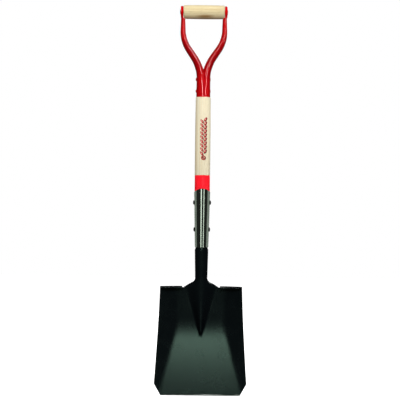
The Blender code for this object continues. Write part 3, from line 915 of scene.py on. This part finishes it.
# ---- Collar -------------------------------------------------------------------------------
@dataclass
class Collar(SubAssembly):
    """The hammered steel sleeve over the socket, crowned at its front and back, and its rivets."""

    bottom: float = 385.2 * MM
    foot_radius: float = 18.1 * MM
    taper: float = 0.0237
    levels: int = 210
    points: int = 180
    side_top: float = 530.7 * MM
    crown: float = 9.0 * MM
    foot_crown: float = 2.0 * MM
    wall: float = 1.2 * MM
    mark: float = 2.8 * MM
    mark_depth: float = 0.04 * MM
    head: float = 6.1 * MM
    rise: float = 3.0 * MM
    rivets: Point = (502.9 * MM, 431.6 * MM)
    shank: float = 3.2 * MM

    @classmethod
    def radius_at(cls, z: float) -> float:
        """Return the sleeve's outer radius at a height; the socket inside has the same taper."""
        return cls.foot_radius + cls.taper * (z - cls.bottom)

    def hammer(self, angle: float, z: float) -> float:
        """Return how deep the hammering is at a place: staggered marks, each a little off."""
        row = math.floor(z / self.mark)
        around = round(math.tau * self.radius_at(z) / self.mark / 2.0) * 2
        turn = angle / math.tau * around + 0.5 * (row % 2)
        column = math.floor(turn) % around
        across = turn - math.floor(turn) - 0.5 + 0.15 * (scatter(column, row) - 0.5)
        up = z / self.mark - row - 0.5 + 0.15 * (scatter(row, column) - 0.5)
        hollow = max(0.0, 1.0 - 4.2 * (across**2 + up**2))
        return self.mark_depth * hollow * (0.55 + 0.45 * scatter(column + 7, row))

    def sleeve(self) -> Piece:
        """Draw the wall up its outside and down its inside, then crown and hammer it."""
        steps = range(self.levels + 1)
        outer = [blend(self.bottom, self.side_top, i / self.levels) for i in steps]
        edge = 0.45 * MM
        profile = [(self.radius_at(outer[0]) - self.wall + edge, outer[0])]
        profile += [(self.radius_at(outer[0]) - 0.3 * edge, outer[0] + 0.05 * MM)]
        profile += [(self.radius_at(z), z) for z in outer[1:-1]]
        profile += [(self.radius_at(outer[-1]) - 0.3 * edge, outer[-1] - 0.05 * MM)]
        inner = [blend(self.side_top, self.bottom, i / 8.0) for i in range(9)]
        profile += [(self.radius_at(z) - self.wall, z) for z in inner]
        sleeve = turned("collar_sleeve", profile, self.points, hollow=True)
        for vertex in sleeve.data.vertices:
            x, y, z = vertex.co
            angle = math.atan2(x, -y)
            level = (z - self.bottom) / (self.side_top - self.bottom)
            radius = math.hypot(x, y)
            crown = math.cos(angle) ** 2
            z += crown * blend(-self.foot_crown, self.crown, level)
            if radius > self.radius_at(vertex.co.z) - 0.5 * edge and 0.01 < level < 0.985:
                radius -= self.hammer(angle % math.tau, z)
            vertex.co = (radius * math.sin(angle), -radius * math.cos(angle), z)
        return sleeve

    def build(self) -> list[Piece]:
        """Return the sleeve and its two rivets."""
        sleeve = set_down(self.sleeve())
        drill(sleeve, self.shank, self.rivets)
        smooth(sleeve, 60.0)
        pieces = [sleeve]
        for name, height in zip(("upper", "lower"), self.rivets):
            rivet = Rivet(self.shank, self.head, self.radius_at(height), self.rise, self.rise)
            pieces.append(rivet.build("collar_rivet_head_" + name, height))
        return pieces

    def dress(self) -> list[Piece]:
        """Return the sleeve in hammered plate and its rivets in black."""
        sleeve, upper, lower = self.build()
        black = Enamel("rivet_black", (0.004, 0.005, 0.005), (0.012, 0.013, 0.012), (0.3, 0.45))
        ink = black.make()
        return [
            fit(sleeve, "tool", "collar", PlatedSteel().make(), "collar"),
            fit(upper, "tool", "collar_rivet", ink, "collar_rivet_upper"),
            fit(lower, "tool", "collar_rivet", ink, "collar_rivet_lower"),
        ]


@dataclass
class Rivet:
    """A through rivet along X: a shank with a domed head at each end.

    Attributes:
        shank: the shank's radius.
        head: the heads' radius.
        seat: how far from the middle the surface lies that the heads clamp.
        rise: how far the head at +X stands off it.
        far_rise: how far the head at -X stands off it.
    """

    shank: float
    head: float
    seat: float
    rise: float
    far_rise: float

    def dome(self, rise: float, side: float) -> list[tuple[float, float]]:
        """Return a head's (radius, place) points, from its rim to its crown."""
        rim = self.seat + 0.1 * MM
        least = 0.15 * MM
        crown = [(max(self.head * c, least), side * (rim + rise * s)) for c, s in quarter(9)]
        return [(0.94 * self.head, side * (rim - 0.35 * MM)), *crown]

    def build(self, name: str, height: float) -> Piece:
        """Draw the rivet and set it at its height."""
        under = self.seat - 0.25 * MM
        profile = [
            *reversed(self.dome(self.far_rise, -1.0)),
            (self.shank, -under),
            (self.shank, under),
            *self.dome(self.rise, 1.0),
        ]
        rivet = turned(name, profile, HOLE_POINTS)
        set_down(rivet, height, Lie.ACROSS)
        smooth(rivet, 50.0)
        return rivet


# ---- Shaft --------------------------------------------------------------------------------
@dataclass
class Shaft(SubAssembly):
    """The ash shaft, its red band and the sprig printed on it."""

    tip: float = 214.0 * MM
    top: float = 839.0 * MM
    band_top: float = 575.0 * MM
    band_bottom: float = 527.0 * MM
    band_radius: float = 20.2 * MM
    band_wall: float = 0.35 * MM
    foot: float = 20.3 * MM
    belly: float = 20.4 * MM
    belly_height: float = 690.0 * MM
    neck: float = 19.8 * MM
    shoulder: float = 781.4 * MM
    motif_top: float = 725.0 * MM
    motif_bottom: float = 615.0 * MM
    motif_x: float = 1.8 * MM
    medal_half: float = 6.2 * MM
    stem_half: float = 1.0 * MM
    leaf_pairs: int = 9
    leaf_length: float = 13.0 * MM
    leaf_width: float = 6.2 * MM
    leaf_lean: float = math.radians(34.0)
    ink_thickness: float = 0.03 * MM

    def wood(self) -> Piece:
        """Draw the shaft from its tip in the ridge to its tenon in the yoke."""
        under_band = self.band_radius - self.band_wall - GAP
        profile = [
            (3.3 * MM, self.tip),
            (5.2 * MM, self.tip + 1.2 * MM),
            (6.0 * MM, self.tip + 4.0 * MM),
            (13.2 * MM, 303.0 * MM),
            (13.6 * MM, 382.0 * MM),
            (16.9 * MM, 518.3 * MM),
            (under_band, self.band_bottom - GAP),
            (under_band, self.band_top + GAP),
            (20.1 * MM, self.band_top + GAP),
            (self.foot, self.band_top + GAP + 0.5 * MM),
            (self.belly, self.belly_height),
            (self.neck, self.shoulder - 1.2 * MM),
            (19.6 * MM, self.shoulder - 0.4 * MM),
            (19.2 * MM, self.shoulder),
            (16.35 * MM, self.shoulder),
            (16.35 * MM, self.shoulder + 3.0 * MM),
            (15.3 * MM, 806.0 * MM),
            (13.3 * MM, 828.8 * MM),
            (10.9 * MM, self.top - 2.0 * MM),
            (9.4 * MM, self.top),
        ]
        shaft = set_down(turned("ash_shaft", profile, TURNED_POINTS))
        drill(shaft, Collar.shank, Collar.rivets)
        drill(shaft, Yoke.shank, Yoke.rivets)
        smooth(shaft, 30.0)
        return shaft

    def band(self) -> Piece:
        """Draw the red film round the shaft, its edges barely rounded."""
        inner = self.band_radius - self.band_wall
        lip = 0.12 * MM
        profile = [
            (inner, self.band_bottom),
            (self.band_radius, self.band_bottom),
            (self.band_radius, self.band_top - lip),
            (self.band_radius - lip, self.band_top),
            (inner, self.band_top),
        ]
        band = set_down(turned("red_band", profile, TURNED_POINTS, hollow=True))
        smooth(band, 50.0)
        return band

    def surface(self, z: float) -> float:
        """Return the bare shaft's radius at a height."""
        bottom, top = (self.band_top, self.foot), (self.shoulder, self.neck)
        return along_points([bottom, (self.belly_height, self.belly), top], z)

    def lay(self, name: str, place: Outline, lift: float) -> Piece:
        """Lay one printed shape on the shaft.

        Args:
            name: the shape's name.
            place: turns a spot of the unit square into a distance round the shaft and a height.
            lift: how far the ink stands off the wood.

        Returns:
            The shape, a thin sheet that follows the wood.
        """
        bpy.ops.object.select_all(action="DESELECT")
        bpy.ops.mesh.primitive_grid_add(x_subdivisions=6, y_subdivisions=14, size=1.0)
        shape = bpy.context.object
        shape.name = name
        for vertex in shape.data.vertices:
            around, z = place(vertex.co.x, vertex.co.y + 0.5)
            radius = self.surface(z) + lift
            angle = (around + self.motif_x) / radius
            vertex.co = (radius * math.sin(angle), -radius * math.cos(angle), z)
        return shape

    def leaf(self, side: int, z: float, size: float, shift: Point) -> Outline:
        """Return one leaf's outline: it grows up and outwards from the stem.

        Args:
            side: 1 for the right and -1 for the left.
            z: the height of its foot.
            size: its share of the full size.
            shift: how far it is moved, across and up.

        Returns:
            The function that places it.
        """
        lean = side * self.leaf_lean
        middle = 0.5 * self.leaf_length

        def spot(u: float, v: float) -> Point:
            """Return a spot of the leaf, v running from its foot to its tip."""
            along = middle + (v - 0.5) * self.leaf_length * size
            half = self.leaf_width * size * math.sin(math.pi * (0.04 + 0.92 * v)) ** 0.8
            return (
                shift[0] + along * math.sin(lean) + u * half * math.cos(lean) + self.stem_half * side,
                shift[1] + z + along * math.cos(lean) - u * half * math.sin(lean),
            )

        return spot

    def medal(self, inner: float, outer: float, shift: Point) -> Outline:
        """Return the outline of the oval ring at the sprig's foot."""
        middle = self.motif_bottom + self.medal_half

        def spot(u: float, v: float) -> Point:
            """Return a spot of the ring, v running once round it."""
            reach = blend(inner, outer, u + 0.5)
            turn = math.tau * v
            return (
                shift[0] + reach * self.medal_half * math.sin(turn),
                shift[1] + middle + reach * self.medal_half * math.cos(turn),
            )

        return spot

    def layer(self, ink: str, size: float, shift: Point, lift: float) -> Piece:
        """Print one ink of the sprig: its stem, its leaves and the medal at its foot.

        Args:
            ink: the ink's name.
            size: the leaves' share of their full size.
            shift: how far the whole layer is moved, across and up.
            lift: how far it stands off the wood.

        Returns:
            The layer, one thin piece.
        """
        foot = self.motif_bottom + 2.0 * self.medal_half
        oval = self.medal(0.9 - 0.35 * size, 0.65 + 0.35 * size, shift)
        shapes = [self.lay("medal_" + ink, oval, lift)]
        shapes.append(self.lay("bead_" + ink, self.medal(0.02, 0.3 * size, shift), lift))
        count = self.leaf_pairs
        pitch = (self.motif_top - foot - self.leaf_length) / (count - 1)
        for i in range(count):
            for side in (-1, 1):
                rise = foot + pitch * (i + (0.5 if side > 0 else 0.0))
                leaf = self.leaf(side, rise, size, shift)
                shapes.append(self.lay(f"leaf_{ink}_{i}", leaf, lift))
        only(shapes[0])
        for shape in shapes[1:]:
            shape.select_set(True)
        bpy.ops.object.join()
        layer = shapes[0]
        layer.name = "shaft_motif_" + ink
        layer.data.name = layer.name
        weld = layer.modifiers.new("Seams", "WELD")
        weld.merge_threshold = 0.002 * MM
        skin = layer.modifiers.new("Ink", "SOLIDIFY")
        skin.thickness = self.ink_thickness
        skin.offset = 1.0
        apply_modifiers(layer)
        smooth(layer, 50.0)
        return set_down(layer)

    def motif(self) -> list[Piece]:
        """Print a plain leafy sprig up the front of the shaft in three inks, the darkest first."""
        step = self.ink_thickness
        return [
            self.layer("dark", 1.0, (1.3 * MM, -1.0 * MM), 0.5 * step),
            self.layer("red", 0.92, (0.0, 0.0), 1.6 * step),
            self.layer("pale", 0.38, (-0.2 * MM, 0.2 * MM), 2.7 * step),
        ]

    def dress(self) -> list[Piece]:
        """Return the shaft in lacquered ash, its red band and the sprig in its three inks."""
        ash = Timber(
            name="ash_shaft",
            grain=Grain.UP,
            pale=(0.86, 0.80, 0.59),
            dark=(0.78, 0.64, 0.41),
            heart=(0.055, 0.03, 0.0),
            ring=2.9 * MM,
            figure=0.85,
        )
        film = Film("red_band_film", (0.95, 0.010, 0.022), (0.88, 0.008, 0.016))
        pieces = [
            fit(self.wood(), "tool", "shaft", ash.make(), "shaft"),
            fit(self.band(), "tool", "band", film.make(), "shaft_band"),
        ]
        inks = (
            Film("dark_ink", (0.035, 0.004, 0.004), (0.09, 0.012, 0.01), 0.5),
            Film("red_ink", (0.42, 0.014, 0.022), (0.56, 0.05, 0.05), 0.5),
            Film("pale_ink", (0.86, 0.42, 0.34), (0.88, 0.55, 0.42), 0.5),
        )
        layers = zip(self.motif(), inks)
        return pieces + [fit(layer, "tool", "band", ink.make()) for layer, ink in layers]


# ---- Yoke ---------------------------------------------------------------------------------
@dataclass
class Yoke(SubAssembly):
    """The red steel yoke: a socket that parts into two hollow arms with cupped ears, and rivets."""

    bottom: float = 781.7 * MM
    mouth: float = 18.8 * MM
    radius: float = 18.1 * MM
    wall: float = 1.8 * MM
    arm_x: float = 9.2 * MM
    arm_z: float = 836.0 * MM
    bend: float = 89.0 * MM
    splay: float = math.radians(34.0)
    straight: float = 27.7 * MM
    arm_top: float = 988.0 * MM
    ear_run: float = 14.0 * MM
    upright: Point = (785.0 * MM, 833.0 * MM)
    bend_steps: int = 22
    lip_top: float = 817.0 * MM
    bore_top: float = 975.0 * MM
    half_widths: tuple[Point, ...] = (
        (bottom, 9.0 * MM),
        (arm_z, 9.2 * MM),
        (862.0 * MM, 10.2 * MM),
        (905.0 * MM, 9.2 * MM),
        (944.0 * MM, 7.6 * MM),
        (arm_top, 6.0 * MM),
        (arm_top + ear_run, 3.2 * MM),
    )
    half_depths: tuple[Point, ...] = (
        (bottom, 17.8 * MM),
        (arm_z, 17.0 * MM),
        (870.0 * MM, 14.0 * MM),
        (905.0 * MM, 12.0 * MM),
        (960.0 * MM, 10.8 * MM),
        (arm_top + ear_run, 12.0 * MM),
    )
    parting: Point = (794.0 * MM, 872.0 * MM)
    mouth_parting: float = 0.45
    ear_inner: float = 55.1 * MM
    ear_outer: float = 61.9 * MM
    ear_radius: float = 15.9 * MM
    ear_edge: float = 2.0 * MM
    cup_radius: float = 13.2 * MM
    cup_depth: float = 4.6 * MM
    rod: float = 4.0 * MM
    rod_head: float = 6.6 * MM
    rod_rise: float = 1.5 * MM
    rivet_head: float = 4.6 * MM
    rivet_rise: float = 2.1 * MM
    rivets: Point = (828.8 * MM, 797.8 * MM)
    shank: float = 2.4 * MM
    points: int = 80
    ear_points: int = 96

    def path(self) -> list[tuple[float, float, float]]:
        """Return stations up the right arm as (x, z, lean): two equal bends between uprights."""
        bottoms = [self.bottom, self.bottom + 0.8 * MM, self.bottom + 2.0 * MM]
        rises = [blend(*self.upright, i / 16.0) for i in range(17)]
        stations = [(self.arm_x, z, 0.0) for z in bottoms + rises]
        steps = self.bend_steps
        for i in range(steps + 1):
            lean = self.splay * i / steps
            x = self.arm_x + self.bend * (1.0 - math.cos(lean))
            stations.append((x, self.arm_z + self.bend * math.sin(lean), lean))
        foot_x, foot_z, _ = stations[-1]
        for i in range(1, 7):
            reach = self.straight * i / 6.0
            across, up = reach * math.sin(self.splay), reach * math.cos(self.splay)
            stations.append((foot_x + across, foot_z + up, self.splay))
        x, z, _ = stations[-1]
        for i in range(1, steps + 1):
            lean = self.splay * (1.0 - i / steps)
            across = self.bend * (math.cos(lean) - math.cos(self.splay))
            up = self.bend * (math.sin(self.splay) - math.sin(lean))
            stations.append((x + across, z + up, lean))
        x, z, _ = stations[-1]
        stations += [(x, blend(z, self.arm_top, i / 6.0), 0.0) for i in range(1, 7)]
        ear_middle = (self.ear_inner + self.ear_outer) / 2.0
        for i in range(1, 7):
            share = i / 6.0
            across = blend(x, ear_middle, ease(share, 0.0, 1.0))
            stations.append((across, self.arm_top + self.ear_run * share, 0.0))
        return stations

    def ring(self, station: tuple[float, float, float], inset: float) -> Ring:
        """Return one section of the right arm, set in from its surface by inset."""
        x, z, lean = station
        parted = blend(self.mouth_parting, 1.0, ease(z, *self.parting))
        lip = [(self.bottom, self.mouth), (self.lip_top, self.radius)]
        round_half = along_points(lip, z) - inset
        return Ring(
            blend(0.0, x, parted),
            z,
            blend(round_half, along_points(self.half_widths, z) - inset, parted),
            blend(round_half, along_points(self.half_depths, z) - inset, parted),
            lean * parted,
        )

    def ear(self) -> Piece:
        """Draw the right ear, a bored disc with a rounded outer rim."""
        edge = self.ear_edge
        rim = [
            (self.ear_radius - edge * (1.0 - c), self.ear_outer - edge * (1.0 - s))
            for c, s in quarter(8)
        ]
        inner = self.ear_inner - 1.0 * MM
        bore = self.rod + GAP
        profile = [(bore, inner), (self.ear_radius, inner), *rim, (bore, self.ear_outer)]
        ear = turned("ear", profile, self.ear_points, hollow=True)
        return set_down(ear, GRIP_HEIGHT, Lie.ACROSS)

    def forging(self) -> Piece:
        """Draw the right half, hollow it and cut it for the grip, then mirror it."""
        path = self.path()
        outside = [self.ring(station, 0.0) for station in path]
        yoke = set_down(draw_tube("yoke_enamelled", outside, self.points))
        cut(yoke, self.ear(), "UNION")
        low = (path[0][0], path[0][1] - 4.0 * MM, 0.0)
        inside = [low, *[station for station in path if station[1] <= self.bore_top]]
        hollow = [self.ring(station, self.wall) for station in inside]
        cut(yoke, set_down(draw_tube("bore", hollow, self.points)))
        cut(yoke, cross_hole("saddle", GRIP_RADIUS + 0.6 * MM, self.ear_inner, GRIP_HEIGHT))
        cut(yoke, cross_hole("cup", self.cup_radius, self.ear_inner + self.cup_depth, GRIP_HEIGHT))
        drill(yoke, self.shank, self.rivets)

        only(yoke)
        bpy.ops.object.mode_set(mode="EDIT")
        bpy.ops.mesh.select_all(action="SELECT")
        bpy.ops.mesh.bisect(plane_co=(0.0, 0.0, 0.0), plane_no=(1.0, 0.0, 0.0), clear_inner=True)
        bpy.ops.object.mode_set(mode="OBJECT")
        mirror = yoke.modifiers.new("Halves", "MIRROR")
        mirror.use_axis = (True, False, False)
        mirror.merge_threshold = 0.02 * MM
        apply_modifiers(yoke)
        smooth(yoke, 38.0)
        return yoke

    def rod_piece(self) -> Piece:
        """Draw the rod through ears and grip, headed at both ends."""
        seat = self.ear_outer + 0.25 * MM
        rod = Rivet(self.rod, self.rod_head, seat, self.rod_rise, self.rod_rise)
        return rod.build("grip_rod_headed", GRIP_HEIGHT)

    def build(self) -> list[Piece]:
        """Return the yoke, its rod and its two rivets."""
        pieces = [self.forging(), self.rod_piece()]
        for name, height in zip(("upper", "lower"), self.rivets):
            seat = self.radius + 0.2 * MM
            low = 0.35 * self.rivet_rise
            rivet = Rivet(self.shank, self.rivet_head, seat, low, self.rivet_rise)
            pieces.append(rivet.build("yoke_rivet_head_" + name, height))
        return pieces

    def dress(self) -> list[Piece]:
        """Return the yoke, its rod and its rivets in one glossy red enamel."""
        forging, rod, upper, lower = self.build()
        red = Enamel(
            name="red_enamel",
            colour=(0.62, 0.0015, 0.003),
            thin=(0.72, 0.003, 0.004),
            rough=(0.4, 0.5),
            coat=1.0,
            coat_rough=0.03,
            peel=0.000006,
            gloss_level=0.0,
            # Painted shade: run and deep darken the red between these heights, where the arms slant.
            run=(845.0 * MM - HANG_HEIGHT, 935.0 * MM - HANG_HEIGHT),
            deep=(0.36, 0.001, 0.003),
        ).make()
        return [
            fit(forging, "tool", "yoke", red, "yoke"),
            fit(rod, "tool", "rod", red, "grip_rod"),
            fit(upper, "tool", "yoke_rivet", red, "yoke_rivet_upper"),
            fit(lower, "tool", "yoke_rivet", red, "yoke_rivet_lower"),
        ]


# ---- Grip ---------------------------------------------------------------------------------
@dataclass
class Grip(SubAssembly):
    """The turned wooden grip, a slight barrel bored for its rod."""

    half: float = 54.5 * MM
    end_radius: float = 17.9 * MM
    edge: float = 2.5 * MM
    bore: float = 4.3 * MM
    relief: float = 0.8 * MM
    half_steps: int = 12

    def build(self) -> Piece:
        """Draw the outside from end to end and the bore back again."""
        corner = [
            (self.end_radius - self.edge * (1.0 - s), self.half - self.edge * (1.0 - c))
            for c, s in quarter(6)
        ]
        barrel = []
        inner = self.half - self.edge
        for i in range(1, 2 * self.half_steps):
            x = inner * (1.0 - i / self.half_steps)
            barrel.append((blend(self.end_radius, GRIP_RADIUS, 1.0 - (x / inner) ** 2), x))
        far = [(radius, -x) for radius, x in reversed(corner)]
        profile = [
            (self.bore + self.relief, self.half),
            *corner,
            *barrel,
            *far,
            (self.bore + self.relief, -self.half),
            (self.bore, self.relief - self.half),
            (self.bore, self.half - self.relief),
        ]
        grip = turned("turned_grip", profile, TURNED_POINTS, hollow=True)
        set_down(grip, GRIP_HEIGHT, Lie.ACROSS)
        smooth(grip, 40.0)
        return grip

    def dress(self) -> list[Piece]:
        """Return the grip in lacquered wood with one knot under it."""
        timber = Timber(
            name="grip_wood",
            grain=Grain.ALONG_GRIP,
            pale=(0.82, 0.70, 0.42),
            dark=(0.62, 0.45, 0.20),
            heart=(0.0, 0.03, -0.012),
            ring=3.4 * MM,
            figure=0.4,
            knot=(0.003, -0.012, 0.006),
        )
        return [fit(self.build(), "grip", "grip", timber.make(), "grip")]


# ---- Studio -------------------------------------------------------------------------------
class Use(Enum):
    """What a light is for: even light on matt surfaces, or a gleam in polished ones."""

    FILL = "fill"
    GLEAM = "gleam"


class Reach(Enum):
    """Which pieces a light reaches, by how their names start; EVERY has no limit."""

    EVERY = ()
    WOOD = ("ash", "red_band", "shaft_motif")
    GRIP = ("turned",)
    BLADE = ("blade",)
    YOKE = ("yoke",)
    COLLAR = ("collar",)


@dataclass(frozen=True)
class Softbox:
    """One soft light.

    Attributes:
        name: its name.
        place: where it hangs, heights being above the cutting edge.
        aim: the point that it faces.
        size: its width and height.
        glow: how bright its face is, white paper in full light being 1.
        reach: which pieces it reaches.
    """

    name: str
    place: Place
    aim: Place
    size: Point
    glow: float
    reach: Reach = Reach.EVERY

    def hang(self, use: Use) -> None:
        """Put the light in the scene for one use."""
        lamp = bpy.data.lights.new(self.name, "AREA")
        lamp.shape = "RECTANGLE"
        lamp.size, lamp.size_y = self.size
        lamp.energy = self.glow * math.pi * self.size[0] * self.size[1]
        box = bpy.data.objects.new(self.name, lamp)
        bpy.context.scene.collection.objects.link(box)
        box.location = Vector(self.place) - Vector((0.0, 0.0, HANG_HEIGHT))
        away = Vector(self.place) - Vector(self.aim)
        box.rotation_mode = "QUATERNION"
        box.rotation_quaternion = away.to_track_quat("Z", "Y")
        box.visible_camera = False
        box.visible_glossy = use is Use.GLEAM
        box.visible_diffuse = use is Use.FILL
        if self.reach is not Reach.EVERY:
            lit = bpy.data.collections.new(self.name + "_on")
            for piece in bpy.context.scene.objects:
                if piece.name.startswith(self.reach.value):
                    lit.objects.link(piece)
            box.light_linking.receiver_collection = lit


@dataclass
class Studio:
    """A pale floor, a white surround, soft lights and the camera."""

    camera_distance: float = 4.0
    camera_height: float = 509.5 * MM
    camera_side: float = -5.5 * MM
    camera_roll: float = math.radians(-0.65)
    view_width: float = 1060.0 * MM
    floor_drop: float = 4.0 * MM
    floor_half: float = 6.0
    floor_glow: float = 1.1
    glow_in_gloss: float = 0.02
    glow_on_matt: float = 0.13
    sensor: float = 36.0
    clip_end: float = 60.0
    fills: tuple[Softbox, ...] = (
        Softbox("front_fill", (0.45, -2.8, 1.9), (0.0, 0.0, 0.7), (1.9, 1.5), 8.6),
        Softbox("top_fill", (0.0, -0.5, 2.6), (0.0, 0.0, 0.6), (1.6, 1.2), 2.4),
        Softbox("back_fill", (0.0, 2.8, 2.2), (0.0, 0.0, 0.5), (3.0, 1.6), 4.0),
        Softbox("wood_right", (2.6, -1.0, 0.2), (0.0, 0.0, 0.6), (1.6, 1.6), 4.8, Reach.WOOD),
        Softbox("wood_left", (-2.6, -1.0, 0.2), (0.0, 0.0, 0.6), (1.6, 1.6), 5.6, Reach.WOOD),
        Softbox("grip_bounce", (0.2, -2.0, -0.3), (0.0, 0.0, 1.0), (1.4, 1.4), 1.7, Reach.GRIP),
    )
    gleams: tuple[Softbox, ...] = (
        Softbox(
            "floor_gleam", (0.03, -0.85, 0.752), (0.0, -0.03, 0.13), (0.6, 0.12), 7.2, Reach.BLADE
        ),
        Softbox("lip_gleam", (0.0, -0.5, 0.05), (0.0, 0.0, 0.28), (0.5, 0.1), 1.6, Reach.BLADE),
        Softbox("arm_left", (1.75, -2.1, 2.25), (0.0, 0.0, 0.9), (0.3, 0.9), 36.0, Reach.YOKE),
        Softbox("arm_right", (-1.1, -2.6, 2.0), (0.0, 0.0, 0.9), (0.25, 0.7), 20.0, Reach.YOKE),
        Softbox("lobes", (1.3, -2.7, 1.3), (0.0, 0.0, 0.82), (0.25, 0.7), 30.0, Reach.YOKE),
        Softbox(
            "streak_right", (1.34, -2.68, 0.45), (0.0, 0.0, 0.45), (0.55, 1.1), 1.2, Reach.COLLAR
        ),
        Softbox(
            "streak_left", (-0.6, -2.94, 0.45), (0.0, 0.0, 0.45), (0.6, 1.1), 1.5, Reach.COLLAR
        ),
        Softbox("side_right", (1.7, 0.9, 0.7), (0.0, 0.0, 0.5), (2.6, 1.6), 0.27, Reach.COLLAR),
        Softbox("side_left", (-1.7, 0.9, 0.7), (0.0, 0.0, 0.5), (2.2, 1.6), 0.24, Reach.COLLAR),
        Softbox("back_gleam", (0.9, 2.4, 1.6), (0.0, 0.0, 0.4), (1.4, 1.0), 3.0),
        Softbox("behind_right", (0.9, 2.8, 0.6), (0.0, 0.0, 0.45), (0.5, 1.2), 1.2, Reach.COLLAR),
        Softbox("behind_left", (-1.3, 2.6, 0.6), (0.0, 0.0, 0.45), (0.5, 1.2), 1.2, Reach.COLLAR),
    )

    def surround(self) -> None:
        """Hang a white surround that lights matt surfaces a little and gloss hardly at all."""
        world = bpy.data.worlds.new("studio")
        world.use_nodes = True
        bpy.context.scene.world = world
        tree = world.node_tree
        tree.nodes.clear()
        output = tree.nodes.new("ShaderNodeOutputWorld")
        path = tree.nodes.new("ShaderNodeLightPath")
        shown = tree.nodes.new("ShaderNodeBackground")
        glows = (("Is Glossy Ray", self.glow_in_gloss), ("Is Diffuse Ray", self.glow_on_matt))
        for ray, glow in glows:
            other = tree.nodes.new("ShaderNodeBackground")
            other.inputs["Strength"].default_value = glow
            mix = tree.nodes.new("ShaderNodeMixShader")
            tree.links.new(path.outputs[ray], mix.inputs[0])
            tree.links.new(shown.outputs[0], mix.inputs[1])
            tree.links.new(other.outputs[0], mix.inputs[2])
            shown = mix
        for node in tree.nodes:
            if node.bl_idname == "ShaderNodeBackground":
                node.inputs["Color"].default_value = (1.0, 1.0, 1.0, 1.0)
        tree.links.new(shown.outputs[0], output.inputs[0])

    def floor(self) -> None:
        """Lay a plain pale floor under the blade."""
        bpy.ops.object.select_all(action="DESELECT")
        low = CAD_BOX[0].z - self.floor_drop
        bpy.ops.mesh.primitive_plane_add(size=2.0 * self.floor_half, location=(0.0, 0.0, low))
        floor = bpy.context.object
        floor.name = "studio_floor"
        recipe = Recipe("pale_floor")
        recipe.fixed(Specular_IOR_Level=0.0, Emission_Color=(1.0, 1.0, 1.0))
        recipe.fixed(Emission_Strength=self.floor_glow)
        cloud = recipe.noise(recipe.place(), scale=1.3, detail=2.0)
        share = recipe.remap(cloud, 0.3, 0.7, 0.0, 1.0)
        paper = recipe.mix(share, (0.92, 0.92, 0.92), (0.9, 0.9, 0.9))
        floor.data.materials.append(recipe.paint(paper, 0.9))
        floor.visible_glossy = False
        floor.visible_diffuse = False

    def camera(self) -> None:
        """Set up the camera straight in front, level, and a touch rolled."""
        lens = bpy.data.cameras.new("front")
        lens.sensor_width = self.sensor
        lens.lens = lens.sensor_width * self.camera_distance / self.view_width
        lens.clip_end = self.clip_end
        camera = bpy.data.objects.new("front", lens)
        bpy.context.scene.collection.objects.link(camera)
        height = self.camera_height - HANG_HEIGHT
        camera.location = (self.camera_side, -self.camera_distance, height)
        camera.rotation_euler = (math.pi / 2.0, self.camera_roll, 0.0)
        bpy.context.scene.camera = camera

    def build(self) -> None:
        """Build the whole studio."""
        self.surround()
        self.floor()
        for use, boxes in ((Use.FILL, self.fills), (Use.GLEAM, self.gleams)):
            for box in boxes:
                box.hang(use)
        self.camera()
        view = bpy.context.scene.view_settings
        view.view_transform = "Standard"
        view.look = "None"


# ---- The shovel ---------------------------------------------------------------------------
def main() -> None:
    """Build and report every piece in order, then set up the studio."""
    logging.basicConfig(level=logging.INFO, format="%(name)s: %(message)s")
    for assembly in (Blade(), Collar(), Shaft(), Yoke(), Grip()):
        for piece in assembly.dress():
            finish = piece.data.materials[0].name
            LOG.info("%s: %d faces, in %s", piece.name, len(piece.data.polygons), finish)
    Studio().build()


if __name__ == "__main__":
    main()
